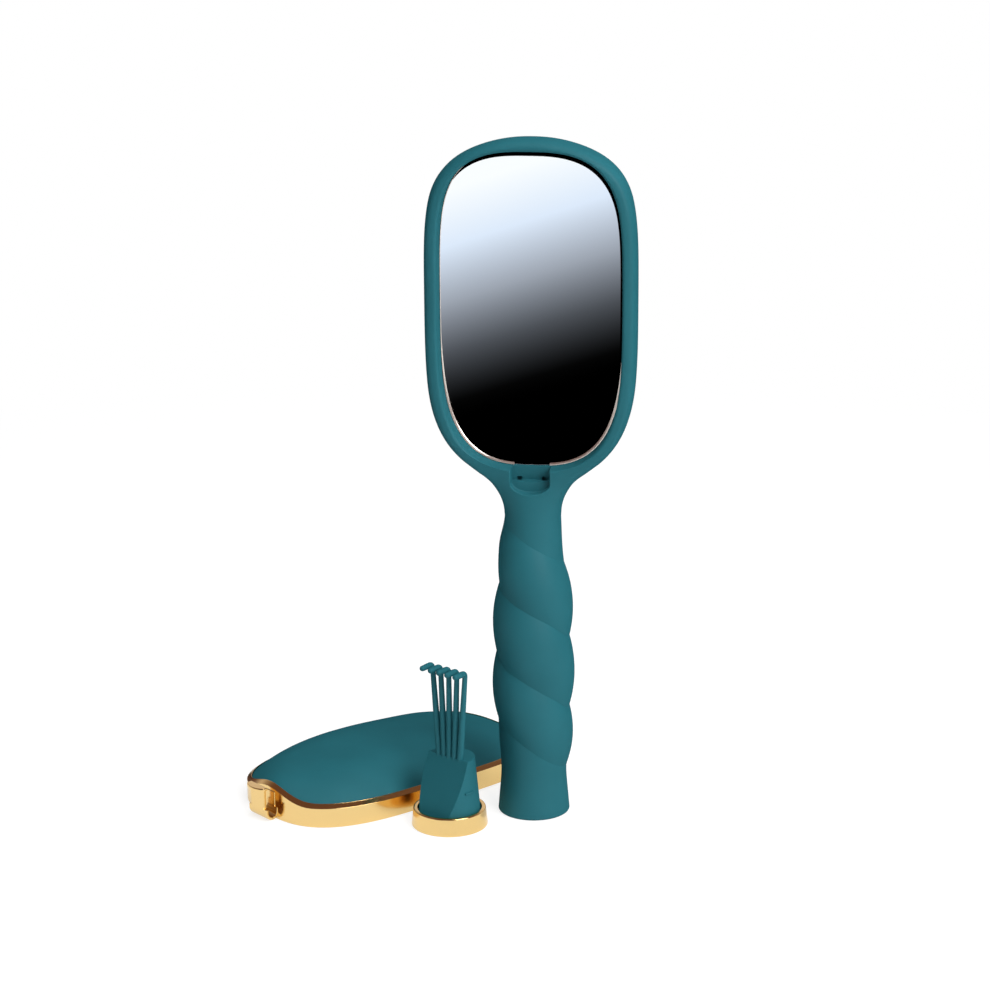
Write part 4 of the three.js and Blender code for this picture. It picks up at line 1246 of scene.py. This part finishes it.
class BRUSH_OT_cleaner(bpy.types.Operator):
    """Models the cleaning rake: the gold cap, the wedge-cut block and the hooked tines"""

    bl_idname = "styling_brush.cleaner"
    bl_label = "Cleaning rake"

    def execute(self, context):
        seat = CAP["top"] - CAP["rim"]
        section = [
            (AXIS, 0), (CAP["foot"], 0), (CAP["top"], CAP["height"]), (seat, CAP["height"]),
            (seat + CAP["draft"], CAP["floor"]), (AXIS, CAP["floor"]),
        ]
        cap = drawn("gold_cap", [circle(r, z) for r, z in rounded(section, CAP["round"])])
        finished(cap, CLEANER_PLACE, "cleaner", GOLD_FINISH, ["cleaner_cap"])
        self.rake(context.scene.styling_brush.sizes)
        return {"FINISHED"}

    def rake(self, sizes):
        deselect()
        bpy.ops.mesh.primitive_cone_add(
            vertices=ROUND_POINTS, radius1=RAKE_FOOT * MM, radius2=RAKE_TOP_RADIUS * MM,
            depth=(RAKE_TOP - RAKE_BASE) * MM, location=(0, 0, (RAKE_TOP + RAKE_BASE) / 2 * MM),
        )
        bpy.ops.object.transform_apply(location=True, rotation=True, scale=True)
        block = name_piece(bpy.context.object, "cleaning_rake")
        bpy.ops.object.mode_set(mode="EDIT")
        bpy.ops.mesh.select_all(action="SELECT")
        lean = math.atan(WEDGE_SLOPE)
        bpy.ops.mesh.bisect(
            plane_co=(0, -WEDGE_OFFSET * MM, RAKE_TOP * MM), plane_no=(0, -math.cos(lean), math.sin(lean)),
            use_fill=True, clear_outer=True,
        )
        bpy.ops.object.mode_set(mode="OBJECT")
        soften(block, RAKE_ROUND, 4, 35)
        middle = (RIB["low"] + RIB["high"]) / 2
        surface = RAKE_FOOT - (RAKE_FOOT - RAKE_TOP_RADIUS) / (RAKE_TOP - RAKE_BASE) * (middle - RAKE_BASE)
        low = (-RIB["half"], -surface - RIB["out"], RIB["low"])
        high = (RIB["half"], -surface + RIB["in"], RIB["high"])
        rib = boxed("snap_rib", low, high)
        rib.data.transform(Matrix.Rotation(math.radians(RIB["turn"]), 4, "Z"))
        soften(rib, RIB["round"], 2, 40)
        joined(block, rib, *[self.tine(i, sizes) for i in range(TINES["count"])])
        finished(block, CLEANER_PLACE, "cleaner", SHELL_FINISH, ["cleaner_rake"])

    def tine(self, index, sizes):
        """A tine tapers as it rises, bends over in a knuckle and ends in a flattened tip."""
        place = index - (TINES["count"] - 1) / 2
        line, top = TINES["line"], TINES["top"]
        foot = Vector((place * TINES["root"], line, RAKE_TOP - TINES["sink"]))
        knee = Vector((place * TINES["tip"], line, top))
        tip = Vector((place * TINES["tip"], line - TINES["hook"], top - TINES["droop"]))
        below = knee.lerp(foot, TINES["knee"] / (top - RAKE_TOP))
        after = knee.lerp(tip, TINES["knee"] / TINES["hook"])
        bend, straight = KNEE_SHARES
        path = [(foot.lerp(below, k / STEM_STEPS), k / STEM_STEPS * bend) for k in range(STEM_STEPS)]
        for k in range(KNEE_STEPS + 1):
            t = k / KNEE_STEPS
            point = below * (1 - t) ** 2 + knee * (2 * t * (1 - t)) + after * t**2
            path.append((point, bend + (straight - bend) * t))
        for k in range(1, HOOK_STEPS + 1):
            path.append((after.lerp(tip, k / HOOK_STEPS), straight + (1 - straight) * k / HOOK_STEPS))
        side = (knee - foot).cross(tip - knee).normalized()
        root_radius = sizes.tine_radius / MM
        rings = []
        for k, (point, share) in enumerate(path):
            before, behind = path[max(k - 1, 0)][0], path[min(k + 1, len(path) - 1)][0]
            across = (behind - before).normalized().cross(side)
            radius = root_radius * (1 - (1 - TINES["taper"]) * share)
            radius *= 1 + HOOK_SWELL * float(smooth(*HOOK_SWELLS, share))
            thick = radius * (1 - HOOK_FLATTENING * float(smooth(*HOOK_FLATTENS, share)))
            turns = [math.tau * i / TINES["sides"] for i in range(TINES["sides"])]
            rings.append([point + side * radius * math.cos(a) + across * thick * math.sin(a) for a in turns])
        direction, last = (tip - after).normalized(), rings[-1]
        rings += [[tip + (q - tip) * share + direction * ahead for q in last] for ahead, share in HOOK_END]
        return drawn(f"tine_{index}", rings)


# ---- studio

CAMERA_PLACE = (158.461, -1071.056, 429)
CAMERA_PITCH, CAMERA_ROLL = 16.335, -0.42
CAMERA_HEADING = (-0.1297, 0.99155)
SENSOR_WIDTH = 36
CLIP_START, CLIP_END = 0.01, 50
# Places and sizes of the lamps in metres; they point at the middle of the group
LAMPS = {
    "key": ((1.25, -1.15, 1.15), (1.3, 1.3)),
    "fill": ((-1.4, -0.9, 0.7), (1.0, 1.2)),
    "top": ((0.2, -0.15, 1.5), (1.4, 1.4)),
}
LAMP_AIM = Vector((0.02, -0.01, 0.11))
FLOOR_SIZE = 8
# A glowing card seen only in reflections: it paints the mirror's gradient reflection and leaves a painted dark edge
# round it
CARD_PLANE = -350
CARD_SHIFT = (-1.3, -2.7)
CARD_LEAN = -0.34
CARD_GLOW = 1.12
# Gradient of the card from its foot to its head: place, red, green and blue
CARD_STOPS = [
    (0.08, 0, 0, 0), (0.165, 0.05, 0.05, 0.05), (0.364, 0.31, 0.32, 0.34),
    (0.564, 0.62, 0.64, 0.68), (0.783, 0.88, 0.92, 0.98), (1.0, 1, 1, 1),
]
WHITE = (1, 1, 1, 1)


class BRUSH_OT_stage(bpy.types.Operator):
    """Sets up the camera, the white floor, the lamps and the room"""

    bl_idname = "styling_brush.stage"
    bl_label = "Studio"

    def execute(self, context):
        studio = context.scene.styling_brush.studio
        self.camera(context, studio)
        context.scene.view_settings.view_transform = "Standard"
        self.room(context, studio)
        self.floor()
        self.card()
        for name, (place, size) in LAMPS.items():
            self.lamp(name, Vector(place), size, getattr(studio, f"{name}_power"))
        return {"FINISHED"}

    def camera(self, context, studio):
        pitch = math.radians(CAMERA_PITCH)
        ahead = Vector((*(c * math.cos(pitch) for c in CAMERA_HEADING), -math.sin(pitch)))
        turn = ahead.to_track_quat("-Z", "Y") @ Quaternion((0, 0, 1), math.radians(CAMERA_ROLL))
        bpy.ops.object.camera_add(location=Vector(CAMERA_PLACE) * MM, rotation=turn.to_euler())
        camera = context.object
        camera.name = "photograph_view"
        camera.data.sensor_width = SENSOR_WIDTH
        camera.data.lens = studio.focal_length
        camera.data.dof.use_dof = False
        camera.data.clip_start, camera.data.clip_end = CLIP_START, CLIP_END
        context.scene.camera = camera

    def lamp(self, name, place, size, power):
        turn = (LAMP_AIM - place).to_track_quat("-Z", "Y").to_euler()
        bpy.ops.object.light_add(type="AREA", location=place, rotation=turn)
        lamp = bpy.context.object
        lamp.name = name
        lamp.data.shape = "RECTANGLE"
        lamp.data.size, lamp.data.size_y = size
        lamp.data.energy = power
        lamp.visible_glossy = name != "top"

    def room(self, context, studio):
        world = context.scene.world or bpy.data.worlds.new("room")
        context.scene.world = world
        world.use_nodes = True
        tree = world.node_tree
        tree.nodes.clear()
        path = add(tree, "ShaderNodeLightPath").outputs
        generated = add(tree, "ShaderNodeTexCoord").outputs["Generated"]
        way = add(tree, "ShaderNodeSeparateXYZ", {"Vector": generated}).outputs
        # The finishes mirror a dark warm room with a pale band low behind the object, stronger at the right
        behind = add(tree, "ShaderNodeMapRange", {"Value": way["Y"], "From Min": -0.1, "From Max": 0.7, "To Max": 0.9})
        right = add(tree, "ShaderNodeMapRange", {"Value": way["X"], "From Min": -0.7, "From Max": 0.7, "To Min": 0.6})
        low = add(
            tree, "ShaderNodeMapRange",
            {"Value": way["Z"], "From Min": 0.35, "From Max": 0.7, "To Min": 1, "To Max": 0.05},
        )
        above = add(tree, "ShaderNodeMapRange", {"Value": way["Z"], "From Min": 0.1, "From Max": 0.3})
        sided = add(tree, "ShaderNodeMath", {0: behind, 1: right}, operation="MULTIPLY")
        band = add(tree, "ShaderNodeMath", {0: low, 1: above}, operation="MULTIPLY")
        level = add(tree, "ShaderNodeMath", {0: sided, 1: band}, operation="MULTIPLY")
        pale = add(tree, "ShaderNodeBackground", {"Color": WHITE, "Strength": level})
        warm = add(tree, "ShaderNodeBackground", {"Color": (1, 0.5, 0.42, 1), "Strength": 0.14})
        reflected = add(tree, "ShaderNodeAddShader", {0: pale, 1: warm})
        # What lights the matt surfaces is cool and stronger from the right, and the camera sees white
        around = add(
            tree, "ShaderNodeMapRange",
            {"Value": way["X"], "From Min": -0.8, "From Max": 0.8, "To Min": 0.5, "To Max": 1.5},
        )
        ambient = add(tree, "ShaderNodeMath", {0: around, 1: studio.ambient}, operation="MULTIPLY")
        lit = add(tree, "ShaderNodeBackground", {"Color": (0.92, 0.96, 1, 1), "Strength": ambient})
        white = add(tree, "ShaderNodeBackground", {"Color": WHITE, "Strength": 1.0})
        direct = add(
            tree, "ShaderNodeMath", {0: path["Is Camera Ray"], 1: path["Is Transmission Ray"]}, operation="MAXIMUM"
        )
        unseen = add(tree, "ShaderNodeMixShader", {0: path["Is Glossy Ray"], 1: lit, 2: reflected})
        seen = add(tree, "ShaderNodeMixShader", {0: direct, 1: unseen, 2: white})
        add(tree, "ShaderNodeOutputWorld", {"Surface": seen})

    def floor(self):
        deselect()
        bpy.ops.mesh.primitive_plane_add(size=FLOOR_SIZE, location=(0, 0, 0))
        floor = name_piece(bpy.context.object, "floor")
        # White laminate sweep: matt and evenly lit, so that only the soft shadow under the object shows
        material, tree, places = blank("white_sweep")
        path = add(tree, "ShaderNodeLightPath").outputs
        mottle = add(tree, "ShaderNodeTexNoise", {"Vector": places, "Scale": per_metre(40), "Detail": 3.0})
        tone = add(tree, "ShaderNodeMapRange", {"Value": mottle, "To Min": 0.79, "To Max": 0.81})
        paper = add(tree, "ShaderNodeBsdfDiffuse", {"Color": tone})
        # The camera sees it nearly white about the object, and fully white further off
        shade = add(tree, "ShaderNodeBsdfDiffuse", {"Color": (0.36, 0.36, 0.36, 1)})
        bright = add(tree, "ShaderNodeEmission", {"Color": WHITE, "Strength": 0.74})
        around = add(tree, "ShaderNodeAddShader", {0: shade, 1: bright})
        white = add(tree, "ShaderNodeEmission", {"Color": WHITE, "Strength": 1.0})
        away = add(tree, "ShaderNodeVectorMath", {0: places}, operation="LENGTH").outputs["Value"]
        far = add(tree, "ShaderNodeMapRange", {"Value": away, "From Min": 0.15, "From Max": 0.6})
        lit = add(tree, "ShaderNodeMixShader", {0: far, 1: around, 2: white})
        # The finishes mirror the part of it under and before the object, and what lies ahead on either side; everywhere
        # else they see it black, a painted dark reflection
        pale = add(tree, "ShaderNodeBsdfDiffuse", {"Color": (0.42, 0.42, 0.42, 1)})
        glow = add(tree, "ShaderNodeEmission", {"Color": WHITE, "Strength": 0.62})
        near = add(tree, "ShaderNodeAddShader", {0: pale, 1: glow})
        # Black that reflections see in place of the white floor: painted dark reflection
        dark = add(tree, "ShaderNodeEmission", {"Color": WHITE, "Strength": 0.0})
        place = add(tree, "ShaderNodeSeparateXYZ", {"Vector": places}).outputs
        front = add(tree, "ShaderNodeMapRange", {"Value": place["Y"], "From Min": -0.3, "From Max": -0.12})
        back = add(
            tree, "ShaderNodeMapRange", {"Value": place["Y"], "From Min": 0, "From Max": 0.06, "To Min": 1, "To Max": 0}
        )
        strip = add(tree, "ShaderNodeMath", {0: front, 1: back}, operation="MULTIPLY")
        aside = add(tree, "ShaderNodeMath", {0: place["X"]}, operation="ABSOLUTE")
        beside = add(tree, "ShaderNodeMapRange", {"Value": aside, "From Min": 0.2, "From Max": 0.4})
        before = add(
            tree, "ShaderNodeMapRange",
            {"Value": place["Y"], "From Min": -0.45, "From Max": -0.3, "To Min": 1, "To Max": 0},
        )
        flank = add(tree, "ShaderNodeMath", {0: beside, 1: before}, operation="MULTIPLY")
        shown = add(tree, "ShaderNodeMath", {0: strip, 1: flank}, operation="MAXIMUM")
        painted_floor_reflection = add(tree, "ShaderNodeMixShader", {0: shown, 1: dark, 2: near})
        seen = add(tree, "ShaderNodeMixShader", {0: path["Is Camera Ray"], 1: paper, 2: lit})
        mixed = add(tree, "ShaderNodeMixShader", {0: path["Is Glossy Ray"], 1: seen, 2: painted_floor_reflection})
        add(tree, "ShaderNodeOutputMaterial", {"Surface": mixed})
        floor.data.materials.append(material)
        floor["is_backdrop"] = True

    def card(self):
        # Cut to the mirror's outline as the camera sees it, a little left and low, so that the mirror shows a painted
        # dark edge along its top and right
        (place, plane), _ = BRUSH_PLACE
        plane += PLATE_FRONT
        grown = (2 * plane - CAMERA_PLACE[1] - CARD_PLANE) / (plane - CAMERA_PLACE[1])
        ring = []
        for across, _, up in standing(OPENING, 0, powers=OPENING_POWERS):
            seen = (place + across + CARD_SHIFT[0], up + CARD_SHIFT[1])
            ring.append(tuple(c + grown * (s - c) for s, c in zip(seen, (CAMERA_PLACE[0], CAMERA_PLACE[2]))))
        card = drawn("reflector_card", [[(x, CARD_PLANE, z) for x, z in ring]], ends=("cap", "open"))
        # Glowing gradient card, seen only in reflections, that paints the mirror's reflection: black at its foot, grey,
        # pale blue and white at its head
        material, tree, places = blank("gradient_card")
        split = add(tree, "ShaderNodeSeparateXYZ", {"Vector": places}).outputs
        lean = add(tree, "ShaderNodeMath", {0: split["X"], 1: CARD_LEAN, 2: split["Z"]}, operation="MULTIPLY_ADD")
        height = add(tree, "ShaderNodeMapRange", {"Value": lean, "From Min": 0.061, "From Max": 0.181})
        ramp = add(tree, "ShaderNodeValToRGB", {"Fac": height})
        stops = ramp.color_ramp.elements
        for stop, (position, *shade) in zip(stops, (CARD_STOPS[0], CARD_STOPS[-1])):
            stop.position, stop.color = position, (*shade, 1)
        for position, *shade in CARD_STOPS[1:-1]:
            stops.new(position).color = (*shade, 1)
        even = add(tree, "ShaderNodeGamma", {"Color": ramp, "Gamma": 2.2})
        glow = add(tree, "ShaderNodeEmission", {"Color": even, "Strength": CARD_GLOW})
        add(tree, "ShaderNodeOutputMaterial", {"Surface": glow})
        card.data.materials.append(material)
        for kind in ("camera", "diffuse", "transmission", "shadow"):
            setattr(card, f"visible_{kind}", False)
        card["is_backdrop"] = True


class BRUSH_PT_panel(bpy.types.Panel):
    """Lists the steps that dress the styling brush."""

    bl_idname = "BRUSH_PT_panel"
    bl_label = "Styling Brush"
    bl_space_type = "VIEW_3D"
    bl_region_type = "UI"
    bl_category = "Styling Brush"

    def draw(self, context):
        for operator in OPERATORS:
            self.layout.operator(operator.bl_idname)
        for group in ("sizes", "colours", "studio"):
            settings = getattr(context.scene.styling_brush, group)
            column = self.layout.column(align=True)
            for name in settings.__annotations__:
                column.prop(settings, name)


OPERATORS = (
    BRUSH_OT_stage, BRUSH_OT_shell, BRUSH_OT_mirror, BRUSH_OT_cushion,
    BRUSH_OT_bristles, BRUSH_OT_cover, BRUSH_OT_latch, BRUSH_OT_cleaner,
)
CLASSES = (BrushSizes, BrushColours, BrushStudio, StylingBrush, *OPERATORS, BRUSH_PT_panel)


def register():
    for member in CLASSES:
        bpy.utils.register_class(member)
    bpy.types.Scene.styling_brush = PointerProperty(type=StylingBrush)


def unregister():
    del bpy.types.Scene.styling_brush
    for member in reversed(CLASSES):
        bpy.utils.unregister_class(member)


def main():
    register()
    for operator in OPERATORS:
        getattr(bpy.ops.styling_brush, operator.bl_idname.partition(".")[2])()
    deselect()
    boxes = {"cad": CAD_BOX, "visual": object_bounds()}
    {name: [list(corner) for corner in box] for name, box in boxes.items()}


if __name__ == "__main__":
    main()
